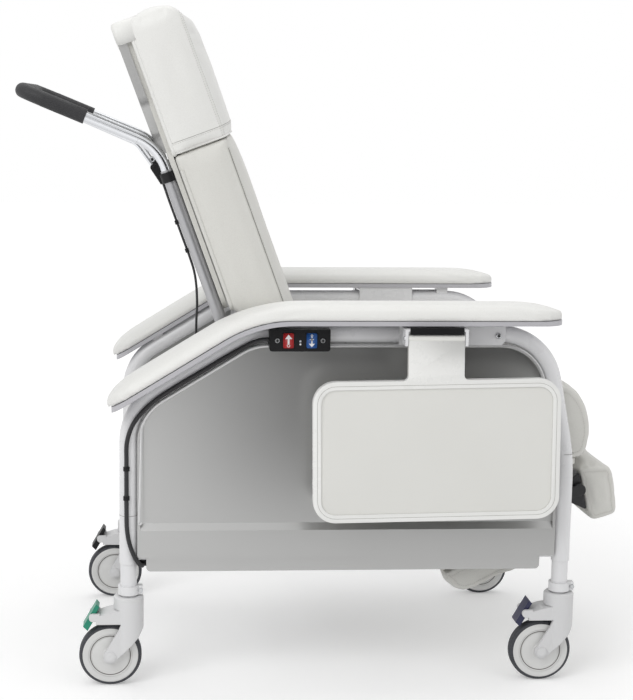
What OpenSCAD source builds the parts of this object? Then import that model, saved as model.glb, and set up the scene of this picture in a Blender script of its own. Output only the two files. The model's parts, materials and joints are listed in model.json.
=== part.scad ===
// Clinical recliner on four swivel casters: tubular side frames with moulded
// panels, upholstered seat and back, push bar, fold-up leg rest and side trays.
// The sitter faces +X, +Y is the sitter's left, and the floor is at height zero.

/* [Side frames] */
// Distance from the rear leg axis to the front leg axis
wheelbase = 886; // [860:1:920]
// Distance between the centre planes of the two side frames
frame_spread = 587; // [583:1:640]
// Outside diameter of the side frame tube
tube_d = 37; // [36:0.5:39]
// Height of the top of the side frame tube
frame_top = 741; // [725:1:755]
// Slope of the rear run of the side frame, in degrees
rear_slope = 31.5; // [29:0.5:34]
// Distance from the rear leg axis to the top of the slope
slope_end = 244; // [232:1:256]
// Lean of the upper front run from the vertical, in degrees
front_lean = 11.2; // [9:0.2:13]
// Height at which the front run starts to lean
lean_from = 470; // [460:1:500]
// Bend radius at the rear of the side frame
rear_bend_r = 118; // [100:1:130]
// Bend radius at the top of the slope
top_bend_r = 120; // [100:1:124]
// Bend radius at the front of the side frame
front_bend_r = 112; // [90:1:120]
// Height of the lower end of the side frame sleeves
sleeve_low = 254; // [240:1:260]
// Depth of the box rails of the frame across the chair
rail_deep = 25; // [20:1:25]
// Height of the lower side rail
rail_tall = 36; // [26:1:40]

/* [Legs and casters] */
// Outside diameter of the leg tubes
leg_d = 33; // [30:0.5:33]
// Inside diameter of the leg tubes
leg_bore = 29; // [25:0.5:29]
// Height of the lower end of the leg tubes
leg_low = 180; // [178:0.5:184]
// Outside diameter of the clamp collars
collar_d = 43; // [40:0.5:46]
// Height of the clamp collars
collar_h = 18; // [12:1:22]
// Diameter of the caster wheels
wheel_d = 127; // [118:1:128]
// Width of the caster wheels
wheel_w = 32; // [26:1:34]
// Distance from the swivel axis back to the wheel axle
trail = 37; // [34:1:42]
// Outside diameter of the caster cap
cap_d = 61; // [58:1:64]
// Thickness of the fork cheeks
cheek_t = 7; // [5:0.5:8]
// Diameter of the caster stem
stem_d = 12; // [10:0.5:14]
// Diameter of the wheel axle
axle_d = 10; // [8:0.5:12]

/* [Side panels] */
// Depth of the moulded side panel
panel_deep = 12; // [9:0.5:14]
// Wall of the moulded side panel
panel_wall = 3; // [2:0.5:4]
// Width of the raised rim along the frame
rim_w = 5; // [4:0.5:9]
// Height of the lower edge of the lower band
band_low = 268; // [262:1:272]
// Height of the top of the lower band's sloping ledge
ledge_top = 339; // [325:1:350]
// Height of the lower edge of the bottom flange
flange_low = 238; // [232:1:246]
// Number of ribs behind each lower band
panel_ribs = 7; // [3:1:10]

/* [Armrests] */
// Height of the underside of the arm board on its level run
arm_under = 750; // [745:1:760]
// Thickness of the arm board
board_t = 9; // [7:0.5:11]
// Thickness of the arm pad
arm_pad_t = 30; // [22:1:36]
// Width of the arm pad
arm_w = 115; // [100:1:120]
// Distance between the centre lines of the two arm pads
arm_spread = 646; // [640:1:700]
// Distance from the rear leg axis forward to the pad's front end
arm_front = 861; // [830:1:880]
// Distance from the rear leg axis back to the pad's rear tip
arm_rear = 36; // [20:1:45]

/* [Seat] */
// Height of the underside of the seat board
seat_under = 445; // [440:1:450]
// Thickness of the seat and back boards
ply_t = 12; // [9:0.5:13]
// Height of the seat cushion's front edge
seat_top = 621; // [600:1:640]
// Height of the seat cushion at its rear edge
seat_rear_top = 588; // [570:1:605]
// Width of the seat cushion
seat_w = 532; // [480:1:536]
// Distance from the rear leg axis to the seat cushion's rear edge
seat_rear = 414; // [412:1:430]
// Distance from the rear leg axis to the seat cushion's front
seat_front = 948; // [940:1:951]
// Rise of the seat cushion's middle above its edges
seat_crown = 16; // [6:1:20]

/* [Backrest] */
// Distance from the rear leg axis forward to the recline axis
pivot_set = 248; // [240:1:256]
// Height of the recline axis
pivot_h = 575; // [568:1:585]
// Lean of the backrest from the vertical at rest, in degrees
back_lean = 20.3; // [18:0.1:24]
// Distance between the centre lines of the two back posts
post_spread = 468; // [440:1:474]
// Diameter of the back posts
post_d = 25; // [24:0.5:27]
// Length of the back posts above the recline axis
post_len = 499; // [480:1:510]
// Width of the back cushion
back_w = 516; // [460:1:518]
// Thickness of the back cushion at its sides
back_t = 110; // [90:1:120]
// Swelling of the back cushion's front at its middle
back_crown = 23; // [10:1:24]
// Distance along the back from the recline axis to the head cover's hem
hem_at = 520; // [515:1:530]
// Distance along the back from the recline axis to the top
back_top = 802; // [770:1:830]
// How far the head cover stands proud of the back cushion
cover_proud = 2.5; // [1:0.5:5]
// Angle of the recline from rest, in degrees, that the lever arms are set for
recline = 45; // [30:1:45]

/* [Push bar] */
// Diameter of the push bar tube
push_d = 22; // [20:0.5:23]
// Diameter of the push bar's grip
grip_d = 30; // [27:0.5:34]
// Distance along the post from the recline axis to the knee of the push bar
knee_at = 548; // [540:1:556]
// Bend of the push bar at the knee, in degrees
knee_bend = 47.7; // [44:0.1:52]
// Distance from the knee to the middle of the cross bar
push_reach = 289; // [260:1:310]
// Length of grip along each arm of the push bar
grip_run = 135; // [100:1:150]
// Diameter of the release lever's rod
bail_d = 7; // [6:0.5:8]

/* [Leg rest] */
// Width of the calf pad
calf_w = 448; // [400:1:450]
// Distance from the calf arm's pivot to the foot link's pivot
foot_link_at = 195; // [190:1:205]
// Angle of the stowed calf arms below the horizontal, in degrees
calf_stow = 28; // [27:0.5:29]
// Thickness of the foot pad at its top
foot_t = 78; // [60:1:84]
// Height of the foot pad
foot_h = 122; // [100:1:126]
// Lean of the stowed foot pad from the vertical, in degrees
foot_lean = 14; // [12:0.5:16]

/* [Trays] */
// Length of the tray
tray_l = 490; // [440:1:520]
// Width of the tray
tray_w = 282; // [250:1:290]
// Thickness of the tray
tray_t = 18; // [14:1:22]
// Corner radius of the tray
tray_corner = 45; // [30:1:60]
// Width of the tray's raised rim
tray_rim = 16; // [10:1:24]
// Depth of the tray's field below its rim
tray_sink = 3; // [2:0.5:4]
// Width of the strap that carries the tray
strap_w = 110; // [90:1:130]
// Distance from the tray's hinge axis to the tray
strap_l = 82; // [70:1:90]
// Tilt of the hung tray, front end up, in degrees
hang_tilt = 1; // [0:0.5:2]

/* [Controls] */
// Length of the control box
box_l = 120; // [112:1:130]
// Height of the control box
box_h = 43; // [38:1:46]
// Depth of the control box
box_deep = 28; // [20:1:30]
// Diameter of the control cable
lead_d = 9; // [7:0.5:10]
// Diameter of the release cable
bowden_d = 5; // [4.5:0.5:5]

/* [Hidden] */
$fn = 48;

// Shared clearances
over = 1;
seat_gap = 0.3;
run_gap = 0.06;
tube_wall = 2;

// Colours
frame_colour = [0.87, 0.87, 0.88];
panel_colour = [0.66, 0.66, 0.67];
vinyl_colour = [0.86, 0.86, 0.83];
cover_colour = [0.90, 0.90, 0.88];
black_colour = [0.08, 0.08, 0.09];
metal_colour = [0.70, 0.71, 0.72];
tyre_colour = [0.25, 0.25, 0.27];
wood_colour = [0.72, 0.58, 0.42];

// Side frame path, as corners in the side plane measured from the rear leg axis
half_spread = frame_spread / 2;
tube_r = tube_d / 2;
leg_r = leg_d / 2;
run_z = frame_top - tube_r;
slope_corner_z = run_z - slope_end * tan(rear_slope);
front_corner_x = wheelbase - (run_z - lean_from) * tan(front_lean);
lean_bend_r = 400;
frame_path = [
  [0, sleeve_low], [0, slope_corner_z], [slope_end, run_z],
  [front_corner_x, run_z], [wheelbase, lean_from], [wheelbase, sleeve_low]
];
frame_bends = [0, rear_bend_r, top_bend_r, front_bend_r, lean_bend_r, 0];
bend_steps = 10;

// Inner structure of the side frame
rail_low = sleeve_low + 8;
rail_top = rail_low + rail_tall;
panel_in = half_spread + 6.5;
rail_in = panel_in - rail_deep;
panel_out = panel_in + panel_deep;
panel_off = sqrt(pow(tube_r, 2) - pow(panel_in - half_spread, 2)) + seat_gap;

// Recline axis and the backrest's own directions: along it and out of its front
pivot = [pivot_set, pivot_h];
lean_dir = [-sin(back_lean), cos(back_lean)];
face_dir = [cos(back_lean), sin(back_lean)];
post_r = post_d / 2;
half_post = post_spread / 2;
push_r = push_d / 2;
grip_r = grip_d / 2;
push_rise = 90 - back_lean - knee_bend;

// Leg rest pivots, measured from the rear leg axis
link_t = 6;
calf_pivot_set = 0.5;
calf_pivot_drop = 47;
calf_pivot = [wheelbase - calf_pivot_set, seat_under - calf_pivot_drop];
calf_dir = [-cos(calf_stow), -sin(calf_stow)];
calf_face = [sin(calf_stow), -cos(calf_stow)];
foot_pivot_out = 49;
foot_pivot_drop = 57;
foot_pivot = [wheelbase + foot_pivot_out, seat_under - foot_pivot_drop];
foot_face = [cos(foot_lean), sin(foot_lean)];
foot_down = [sin(foot_lean), -cos(foot_lean)];
foot_back = 8;
foot_rise = 41;
foot_taper = 10.5;

// The floor centre under the whole chair is the origin
back_reach = pivot_set - knee_at * sin(back_lean) - push_reach * cos(push_rise) - grip_r;
front_reach = foot_pivot[0] + (foot_back + foot_t) * foot_face[0]
  + (foot_h - foot_rise) * foot_down[0]
  - foot_taper;
rear_x = -(back_reach + front_reach) / 2;

// Straight lines and arcs of a path whose corners are rounded
function unit(v) = v / norm(v);
function turn_of(a, b) = acos(max(-1, min(1, a * b)));
function left_of(v) = [-v[1], v[0]];
function corner_tangent(p, q, s, r) = r * tan(turn_of(unit(q - p), unit(s - q)) / 2);
function arc_at(p, q, s, r, n) =
  let (u = unit(q - p), w = unit(s - q), t = turn_of(u, w))
  let (k = (u[0] * w[1] - u[1] * w[0]) >= 0 ? 1 : -1)
  let (c = q - u * corner_tangent(p, q, s, r) + left_of(u) * k * r)
  [for (i = [0 : n]) c - k * r * left_of(u) * cos(t * i / n) + r * u * sin(t * i / n)];
function rounded_path(pts, radii, n) = [
  for (i = [0 : len(pts) - 1])
    each (i == 0 || i == len(pts) - 1 || radii[i] <= 0)
      ? [pts[i]]
      : arc_at(pts[i - 1], pts[i], pts[i + 1], radii[i], n)
];

// The same path moved sideways: positive distances move it to the left of its way
function cross_at(p, u, q, w) = let (k = u[0] * w[1] - u[1] * w[0])
  p + u * (((q[0] - p[0]) * w[1] - (q[1] - p[1]) * w[0]) / k);
function moved_corner(a, b, c, d) =
  let (u = unit(b - a), w = unit(c - b))
  cross_at(b + left_of(u) * d, u, b + left_of(w) * d, w);
function moved_path(pts, d) = [
  for (i = [0 : len(pts) - 1])
    i == 0 ? pts[0] + left_of(unit(pts[1] - pts[0])) * d
    : i == len(pts) - 1 ? pts[i] + left_of(unit(pts[i] - pts[i - 1])) * d
    : moved_corner(pts[i - 1], pts[i], pts[i + 1], d)
];
function moved_bends(pts, radii, d) = [
  for (i = [0 : len(pts) - 1])
    (i == 0 || i == len(pts) - 1) ? 0
    : let (u = unit(pts[i] - pts[i - 1]), w = unit(pts[i + 1] - pts[i]))
     let (k = (u[0] * w[1] - u[1] * w[0]) >= 0 ? 1 : -1)
     max(radii[i] - k * d, over)
];

// Points in the chair's frame
function in_space(p, y) = [rear_x + p[0], y, p[1]];
function back_at(along, out) = pivot + lean_dir * along + face_dir * out;
function calf_at(along, out) = calf_pivot + calf_dir * along + calf_face * out;
function foot_at(out, down) = foot_pivot + foot_face * out + foot_down * down;

// Placing helpers
module on_side(side) {
  if (side < 0)
    mirror([0, 1, 0]) children();
  else
    children();
}
module both_sides() {
  on_side(-1) children();
  on_side(1) children();
}
module from_rear_leg() {
  translate([rear_x, 0, 0]) children();
}
// Draws a side view outline with its thickness from one lateral place to another
module plate(y_from, y_to) {
  translate([0, y_to, 0]) rotate([90, 0, 0]) linear_extrude(y_to - y_from) children();
}
// The backrest's frame: X out of its front, Y across, Z along it
module in_back() {
  translate([rear_x + pivot_set, 0, pivot_h]) rotate([0, -back_lean, 0]) children();
}
module pin_along_y(p, y_from, y_to, r) {
  translate([p[0], y_to, p[1]]) rotate([90, 0, 0]) cylinder(h = y_to - y_from, r = r);
}

// A straight bar and a bend of a bar, and a whole bent bar or tube in space.
// A bend is a hair thinner than its runs and reaches a little into both.
bend_step = 0.25;
bend_lap = 0.8;
module bar_run(a, b, r) {
  d = b - a;
  translate(a) rotate([0, acos(d[2] / norm(d)), atan2(d[1], d[0])])
    cylinder(h = norm(d), r = r);
}
module bar_bend(p, q, s, bend_r, r) {
  u = unit(q - p);
  w = unit(s - q);
  t = turn_of(u, w);
  lap = atan(bend_lap / bend_r);
  n = unit(w - u * (w * u));
  c = q - u * bend_r * tan(t / 2) + n * bend_r;
  z = cross(-n, u);
  multmatrix([
    [-n[0], u[0], z[0], c[0]],
    [-n[1], u[1], z[1], c[1]],
    [-n[2], u[2], z[2], c[2]],
    [0, 0, 0, 1]
  ])
    rotate(-lap) rotate_extrude(angle = t + 2 * lap) translate([bend_r, 0])
      circle(r = r - bend_step);
}
function tangent_at(pts, radii, i) =
  (i == 0 || i == len(pts) - 1 || radii[i] <= 0) ? 0
  : radii[i] * tan(turn_of(unit(pts[i] - pts[i - 1]), unit(pts[i + 1] - pts[i])) / 2);
module bent_bar(pts, radii, r, past) {
  last = len(pts) - 1;
  for (i = [0 : last - 1])
    let (u = unit(pts[i + 1] - pts[i]))
      bar_run(
        pts[i] + u * (tangent_at(pts, radii, i) - (i == 0 ? past : 0)),
        pts[i + 1] - u * (tangent_at(pts, radii, i + 1) - (i == last - 1 ? past : 0)), r
      );
  for (i = [1 : last - 1])
    bar_bend(pts[i - 1], pts[i], pts[i + 1], radii[i], r);
}
module bent_tube(pts, radii, r, bore) {
  difference() {
    bent_bar(pts, radii, r, 0);
    bent_bar(pts, radii, bore, over);
  }
}

// A closed skin over rings of equal count, closed by a point at each end
module skin(rings, first, last) {
  n = len(rings[0]);
  m = len(rings);
  polyhedron(
    points = concat([for (r = rings) each r], [first, last]),
    faces = concat(
      [for (j = [0 : m - 2], i = [0 : n - 1])
        [j * n + i, j * n + (i + 1) % n, (j + 1) * n + (i + 1) % n]],
      [for (j = [0 : m - 2], i = [0 : n - 1])
        [j * n + i, (j + 1) * n + (i + 1) % n, (j + 1) * n + i]],
      [for (i = [0 : n - 1]) [m * n, (i + 1) % n, i]],
      [for (i = [0 : n - 1]) [m * n + 1, (m - 1) * n + i, (m - 1) * n + (i + 1) % n]]
    )
  );
}

// A cushion lofted across the chair from a side view outline. Each outline
// point is [x, z, swell share], with a fourth value where it swells straight out
// of the front; the edges round in and the side faces dish.
edge_round = 9;
side_dish = 5;
cushion_levels = [-1, -0.985, -0.94, -0.8, -0.55, -0.28, 0, 0.28, 0.55, 0.8, 0.94, 0.985, 1];
edge_shares = [1, 0.35, 0, 0, 0, 0, 0, 0, 0, 0, 0, 0.35, 1];
function ring_normal(o, i) =
  let (n = len(o), a = o[(i + n - 1) % n], b = o[(i + 1) % n])
  let (d = unit([b[0] - a[0], b[1] - a[1]]))
  [d[1], -d[0]];
function loft_ring(o, y, swell, inset) = [
  for (i = [0 : len(o) - 1])
    let (move = is_undef(o[i][3]) ? ring_normal(o, i) : [1, 0])
    let (q = [o[i][0], o[i][1]] + move * swell * o[i][2] - ring_normal(o, i) * inset)
    [q[0], y, q[1]]
];
function mean_point(o, i) = [for (k = o) k[i]] * [for (k = o) 1 / len(o)];
module lofted_cushion(outline, width, swell, rounding) {
  half = width / 2;
  rings = [
    for (i = [0 : len(cushion_levels) - 1])
      let (t = cushion_levels[i])
      loft_ring(outline, t * half, swell * (1 - t * t), rounding * edge_shares[i])
  ];
  inner = side_dish;
  mid = [mean_point(outline, 0), 0, mean_point(outline, 1)];
  skin(rings, mid + [0, -half + inner, 0], mid + [0, half - inner, 0]);
}

// Side frame: bent tube, lower rail, recline upright and the arm board's clips
clip_w = 26;
frame_points = [for (p = frame_path) in_space(p, half_spread)];
leg_top = lean_from - lean_bend_r * tan(front_lean / 2) - bend_lap - 2 * over;
module arm_clip_level(x) {
  from_rear_leg() plate(half_spread - clip_w / 2, half_spread + clip_w / 2)
    translate([x, run_z]) square([clip_w, arm_under - run_z]);
}
module arm_clip_slope(x) {
  from_rear_leg() plate(half_spread - clip_w / 2, half_spread + clip_w / 2)
    translate([x, slope_corner_z + x * tan(rear_slope)]) rotate(rear_slope)
      square([clip_w, arm_slope_lift]);
}
module side_frame(side) {
  color(frame_colour) on_side(side) difference() {
    union() {
      bent_bar(frame_points, frame_bends, tube_r, 0);
      from_rear_leg() plate(rail_in, panel_in) {
        translate([0, rail_low]) square([wheelbase, rail_tall]);
        translate([pivot_set - rail_deep / 2, rail_low])
          square([rail_deep, upright_top - rail_low]);
      }
      arm_clip_level(arm_clip_front);
      arm_clip_slope(arm_clip_rear);
    }
    bent_bar(frame_points, frame_bends, leg_r, over);
  }
}
upright_top = min(run_z, slope_corner_z + pivot_set * tan(rear_slope));
arm_clip_set = 165;
arm_clip_front = wheelbase - arm_clip_set;
arm_clip_rear = 62;

// Moulded side panel: recessed field, rim, lower band with a sloping ledge,
// bottom flange, and ribs behind the band
panel_path = moved_path(
  [[0, band_low], [0, slope_corner_z], [slope_end, run_z],
  [front_corner_x, run_z], [wheelbase, lean_from], [wheelbase, band_low]],
  -panel_off
);
panel_bends = moved_bends(frame_path, frame_bends, -panel_off);
field_off = tube_r + rim_w;
rear_extra = 5;
field_path = moved_path(
  [[0, ledge_top], [0, slope_corner_z], [slope_end, run_z],
  [front_corner_x, run_z], [wheelbase, lean_from], [wheelbase, ledge_top]],
  -field_off
);
field_bends = moved_bends(frame_path, frame_bends, -field_off);
ledge_h = 14;
band_deep = panel_deep - panel_wall;
flange_in = 18;
flange_out = 28;
flange_round = 9;
module panel_outline() {
  polygon(rounded_path(panel_path, panel_bends, bend_steps));
}
module field_outline() {
  polygon(rounded_path(field_path, field_bends, bend_steps));
}
module flange_outline() {
  x_a = panel_off + flange_in;
  x_b = wheelbase - panel_off - flange_out;
  translate([x_a, flange_low + flange_round]) square([x_b - x_a, band_low - flange_low]);
  translate([x_a + flange_round, flange_low]) square([x_b - x_a - 2 * flange_round, flange_round * 2]);
  for (x = [x_a + flange_round, x_b - flange_round])
    translate([x, flange_low + flange_round]) circle(r = flange_round);
}
module band_cavity() {
  low = band_low + panel_wall;
  high = ledge_top - ledge_h - panel_wall;
  x_a = panel_off + panel_wall;
  x_b = wheelbase - panel_off - panel_wall;
  pitch = (x_b - x_a) / (panel_ribs + 1);
  for (i = [0 : panel_ribs])
    translate([x_a + i * pitch + (i > 0 ? panel_wall / 2 : 0), panel_in - over, low]) cube([
      pitch - (i > 0 ? panel_wall / 2 : 0) - (i < panel_ribs ? panel_wall / 2 : 0),
      band_deep + over, high - low
    ]);
}
module ledge_cut() {
  x_a = field_off;
  x_b = wheelbase - field_off;
  translate([x_a, 0, 0]) rotate([90, 0, 90]) linear_extrude(x_b - x_a) polygon([
    [panel_in + panel_wall, ledge_top],
    [panel_out + over, ledge_top + over],
    [panel_out + over, ledge_top - ledge_h - over],
    [panel_out, ledge_top - ledge_h],
    [panel_in + panel_wall, ledge_top - over / 2]
  ]);
}
module side_panel(side) {
  color(panel_colour) on_side(side) from_rear_leg() {
    difference() {
      plate(panel_in, panel_out) panel_outline();
      plate(panel_in + panel_wall, panel_out + over) difference() {
        field_outline();
        translate([0, ledge_top]) square([field_off + rear_extra, slope_corner_z]);
      }
      ledge_cut();
      band_cavity();
    }
    plate(panel_in, panel_in + panel_wall) flange_outline();
  }
}

// Arm board and pad: both follow one path with a single bend
half_arm = arm_spread / 2;
arm_bend_r = 250;
arm_corner_x = slope_end + 8;
arm_slope_lift = (arm_under - arm_corner_x * tan(rear_slope) - slope_corner_z) * cos(rear_slope);
arm_path = [
  [-arm_rear, arm_under - (arm_corner_x + arm_rear) * tan(rear_slope)],
  [arm_corner_x, arm_under],
  [arm_front, arm_under]
];
arm_bends = [0, arm_bend_r, 0];
board_inset = 3;
module arm_band(low, high) {
  lower = rounded_path(moved_path(arm_path, low), moved_bends(arm_path, arm_bends, low), bend_steps);
  upper = rounded_path(moved_path(arm_path, high), moved_bends(arm_path, arm_bends, high), bend_steps);
  polygon(concat(lower, [for (i = [len(upper) - 1 : -1 : 0]) upper[i]]));
}
board_front_r = 44;
board_rear_r = 30;
module board_plan() {
  w = arm_w - 2 * board_inset;
  x_a = -arm_rear + board_inset;
  x_b = arm_front - board_inset;
  translate([x_a + board_rear_r, half_arm - w / 2])
    square([x_b - board_front_r - x_a - board_rear_r, w]);
  translate([x_a, half_arm - w / 2 + board_rear_r])
    square([board_rear_r * 2, w - 2 * board_rear_r]);
  for (k = [-1, 1]) {
    translate([x_a + board_rear_r, half_arm + k * (w / 2 - board_rear_r)]) circle(r = board_rear_r);
    translate([x_b - board_front_r, half_arm + k * (w / 2 - board_front_r)]) circle(r = board_front_r);
  }
  translate([x_b - board_front_r, half_arm - w / 2 + board_front_r])
    square([board_front_r, w - 2 * board_front_r]);
}
module arm_board(side) {
  color(panel_colour) on_side(side) from_rear_leg() intersection() {
    plate(half_arm - arm_w, half_arm + arm_w) arm_band(0, board_t);
    linear_extrude(arm_under + arm_w) board_plan();
  }
}
// The pad's cross section, from its inner lower edge over the top: places
// across as shares of half the width and heights as shares of the thickness
pad_shares = [
  [-0.96, 0], [-1, 0.16], [-0.985, 0.42], [-0.92, 0.66], [-0.78, 0.83], [-0.5, 0.95], [0, 1],
  [0.5, 0.95], [0.78, 0.83], [0.92, 0.66], [0.985, 0.42], [1, 0.16], [0.96, 0], [0, 0]
];
arm_line = rounded_path(arm_path, arm_bends, 8);
arm_rear_run = norm(arm_line[1] - arm_line[0]);
pad_tip = 60;
pad_nose = 95;
tip_shares = [0.02, 0.1, 0.26, 0.55, 1];
nose_shares = [1, 0.62, 0.36, 0.16, 0.05, 0.01];
function arm_dir(i) = unit(arm_line[min(i + 1, len(arm_line) - 1)] - arm_line[max(i - 1, 0)]);
rear_dir = unit(arm_line[1] - arm_line[0]);
pad_line = concat(
  [for (k = tip_shares)
    [arm_line[0] + rear_dir * pad_tip * k, rear_dir,
      sqrt(1 - pow(1 - k, 2.4)), sqrt(1 - pow(1 - k, 2))]],
  [for (k = [0.35, 0.7])
    [arm_line[0] + rear_dir * (pad_tip + (arm_rear_run - pad_tip) * k), rear_dir, 1, 1]],
  [for (i = [1 : len(arm_line) - 2]) [arm_line[i], arm_dir(i), 1, 1]],
  [for (k = [0.3, 0.65])
    [[arm_line[len(arm_line) - 2][0] * (1 - k) + (arm_front - pad_nose) * k, arm_under], [1, 0], 1, 1]],
  [for (k = nose_shares)
    [[arm_front - pad_nose * k, arm_under], [1, 0],
      sqrt(1 - pow(1 - k, 3)), 0.36 + 0.64 * sqrt(1 - pow(1 - k, 2.2))]]
);
function pad_ring(s) = [
  for (q = pad_shares)
    let (h = board_t + seat_gap + q[1] * (arm_pad_t - seat_gap) * s[3])
    let (p = s[0] + left_of(s[1]) * h)
    [p[0], half_arm + q[0] * s[2] * arm_w / 2, p[1]]
];
function ring_middle(r) = [for (k = [0 : 2]) [for (p = r) p[k]] * [for (p = r) 1 / len(r)]];
module arm_pad(side) {
  rings = [for (s = pad_line) pad_ring(s)];
  color(cover_colour) on_side(side) from_rear_leg()
    skin([for (i = [len(rings) - 1 : -1 : 0]) rings[i]],
      ring_middle(rings[len(rings) - 1]), ring_middle(rings[0]));
}

// Legs, collars, screws and caster stems
collar_low = leg_low + 10;
slit = 2;
lug_len = 9;
lug_deep = 16;
screw_r = 2.5;
head_r = 4.5;
head_h = 3.5;
stem_r = stem_d / 2;
module each_leg() {
  for (x = [0, wheelbase], side = [-1, 1])
    translate([rear_x + x, side * half_spread, 0]) children();
}
module leg_tubes() {
  color(frame_colour) each_leg() translate([0, 0, leg_low]) difference() {
    cylinder(h = leg_top - leg_low, r = leg_r);
    translate([0, 0, -over]) cylinder(h = leg_top - leg_low + 2 * over, d = leg_bore);
  }
}
module leg_collars() {
  color(frame_colour) each_leg() translate([0, 0, collar_low]) difference() {
    union() {
      cylinder(h = collar_h, d = collar_d);
      translate([0, -lug_deep / 2, 0]) cube([collar_d / 2 + lug_len - 2, lug_deep, collar_h]);
    }
    translate([0, 0, -over]) cylinder(h = collar_h + 2 * over, r = leg_r);
    translate([0, -slit / 2, -over]) cube([collar_d, slit, collar_h + 2 * over]);
    translate([collar_d / 2 + lug_len / 2 - 1, lug_deep, collar_h / 2])
      rotate([90, 0, 0]) cylinder(h = lug_deep * 2, r = screw_r);
  }
}
module collar_screw() {
  translate([collar_d / 2 + lug_len / 2 - 1, lug_deep / 2, collar_low + collar_h / 2])
    rotate([90, 0, 0]) cylinder(h = lug_deep, r = screw_r);
  translate([collar_d / 2 + lug_len / 2 - 1, -lug_deep / 2, collar_low + collar_h / 2])
    rotate([90, 0, 0]) cylinder(h = head_h, r = head_r);
}
module screws() {
  color(metal_colour) {
    each_leg() collar_screw();
    for (x = box_screw_x)
      pin_along_y([rear_x + x, box_z], -box_out - head_h / 2, -box_out + screw_len, screw_r);
    for (x = box_screw_x)
      pin_along_y([rear_x + x, box_z], -box_out - head_h / 2, -box_out, head_r);
  }
}
plug_h = 70;
stem_low = 126;
module caster_stems() {
  color(metal_colour) each_leg() {
    translate([0, 0, stem_low]) cylinder(h = leg_low - stem_low + plug_h, r = stem_r);
    translate([0, 0, leg_low]) cylinder(h = plug_h, d = leg_bore);
  }
}

// Casters: fork with hood, wheel with tyre, and a brake pedal
wheel_r = wheel_d / 2;
cap_top = leg_low + 7;
cap_low = leg_low - 19;
cap_r = cap_d / 2;
cup_r = leg_r + 2;
cup_floor = leg_low - 1;
fork_out = wheel_w / 2 + 2.5 + cheek_t;
hood_low = wheel_d + 5;
hood_high = cap_low - 4;
hood_back = -66;
axle_r = axle_d / 2;
pedal_pivot = [-72, hood_low + 14];
pedal_pin_r = 3.5;
ear_r = 8;
neck_cut = 104;
module fork_side() {
  // Hood over the wheel and the cheek that runs down to the axle
  polygon([
    [0, hood_high + cap_h_in], [-cap_r - 8, hood_high], [hood_back, hood_high - 9],
    [hood_back, hood_low], [-trail + 22, hood_low], [-trail + 16, hood_low - 14],
    [-trail - hub_r * 0.8, wheel_r + hub_r * 0.6], [-trail + hub_r * 0.8, wheel_r - hub_r * 0.6],
    [cap_r - 10, neck_cut], [cap_r, neck_cut + 18], [cap_r, hood_high + cap_h_in]
  ]);
  translate([-trail, wheel_r]) circle(r = hub_r);
}
hub_r = 14;
cap_h_in = 7;
module fork() {
  difference() {
    union() {
      // Swivel housing under the cap
      intersection() {
        plate(-cap_r, cap_r) fork_side();
        union() {
          translate([0, 0, wheel_r]) cylinder(h = hood_high + cap_h_in - wheel_r, r = cap_r);
          translate([hood_back, -fork_out, 0]) cube([-hood_back, 2 * fork_out, cap_top]);
        }
      }
      translate([0, 0, cap_low]) cylinder(h = cap_top - cap_low - cap_edge, r = cap_r);
      translate([0, 0, cap_top - cap_edge]) cylinder(h = cap_edge, r1 = cap_r, r2 = cap_r - cap_edge);
      for (k = [-1, 1])
        plate(k * (fork_out - cheek_t / 2) - cheek_t / 2, k * (fork_out - cheek_t / 2) + cheek_t / 2) {
          translate(pedal_pivot) circle(r = ear_r);
          translate([pedal_pivot[0], pedal_pivot[1] - ear_r])
            square([hood_back - pedal_pivot[0] + ear_r, 2 * ear_r]);
        }
    }
    // Wheel well
    plate(-fork_out + cheek_t, fork_out - cheek_t) {
      translate([-trail, wheel_r]) circle(r = wheel_r + 4);
      translate([hood_back - ear_r * 3, 0]) square([-hood_back + ear_r * 3 - trail, hood_low]);
    }
    // Pedal slot between the ears
    plate(-fork_out + cheek_t, fork_out - cheek_t)
      translate([pedal_pivot[0] - ear_r - over, pedal_pivot[1] - 2 * ear_r])
        square([2 * ear_r + 2 * over, 4 * ear_r]);
    translate([0, 0, cup_floor]) cylinder(h = cap_top, r = cup_r);
    translate([0, 0, 0]) cylinder(h = cap_top, r = stem_r + run_gap);
  }
  // Axle bolt and pedal pin, fixed in the cheeks
  pin_along_y([-trail, wheel_r], -fork_out - 2, fork_out + 2, axle_r);
  pin_along_y(pedal_pivot, -fork_out + cheek_t / 2, fork_out - cheek_t / 2, pedal_pin_r);
}
cap_edge = 3;
tread_t = 7;
module wheel() {
  translate([-trail, 0, wheel_r]) rotate([90, 0, 0]) difference() {
    rotate_extrude() wheel_section();
    cylinder(h = 2 * wheel_w, r = axle_r + run_gap, center = true);
  }
}
module wheel_section() {
  w = wheel_w / 2;
  rim = wheel_r - tread_t;
  polygon([
    [0, -w], [hub_r, -w], [hub_r + 2, -w + 3], [hub_r + 24, -w + 5], [hub_r + 26, -w + 3],
    [rim - 2, -w + 2], [rim, -w + 3], [wheel_r - 3, -w + 4], [wheel_r, -w + 9],
    [wheel_r, w - 9], [wheel_r - 3, w - 4], [rim, w - 3], [rim - 2, w - 2],
    [hub_r + 26, w - 3], [hub_r + 24, w - 5], [hub_r + 2, w - 3], [hub_r, w], [0, w]
  ]);
}
pedal_half = wheel_w / 2 + 1.5;
module pedal() {
  difference() {
    plate(-pedal_half, pedal_half) {
      polygon([
        pedal_pivot + [-20, -20], pedal_pivot + [-11, -29], pedal_pivot + [-1, -12],
        pedal_pivot + [5, 6], pedal_pivot + [13, 20], pedal_pivot + [7, 27]
      ]);
      translate(pedal_pivot) circle(r = ear_r - 1);
    }
    pin_along_y(pedal_pivot, -pedal_half - over, pedal_half + over, pedal_pin_r + run_gap);
  }
}
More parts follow.
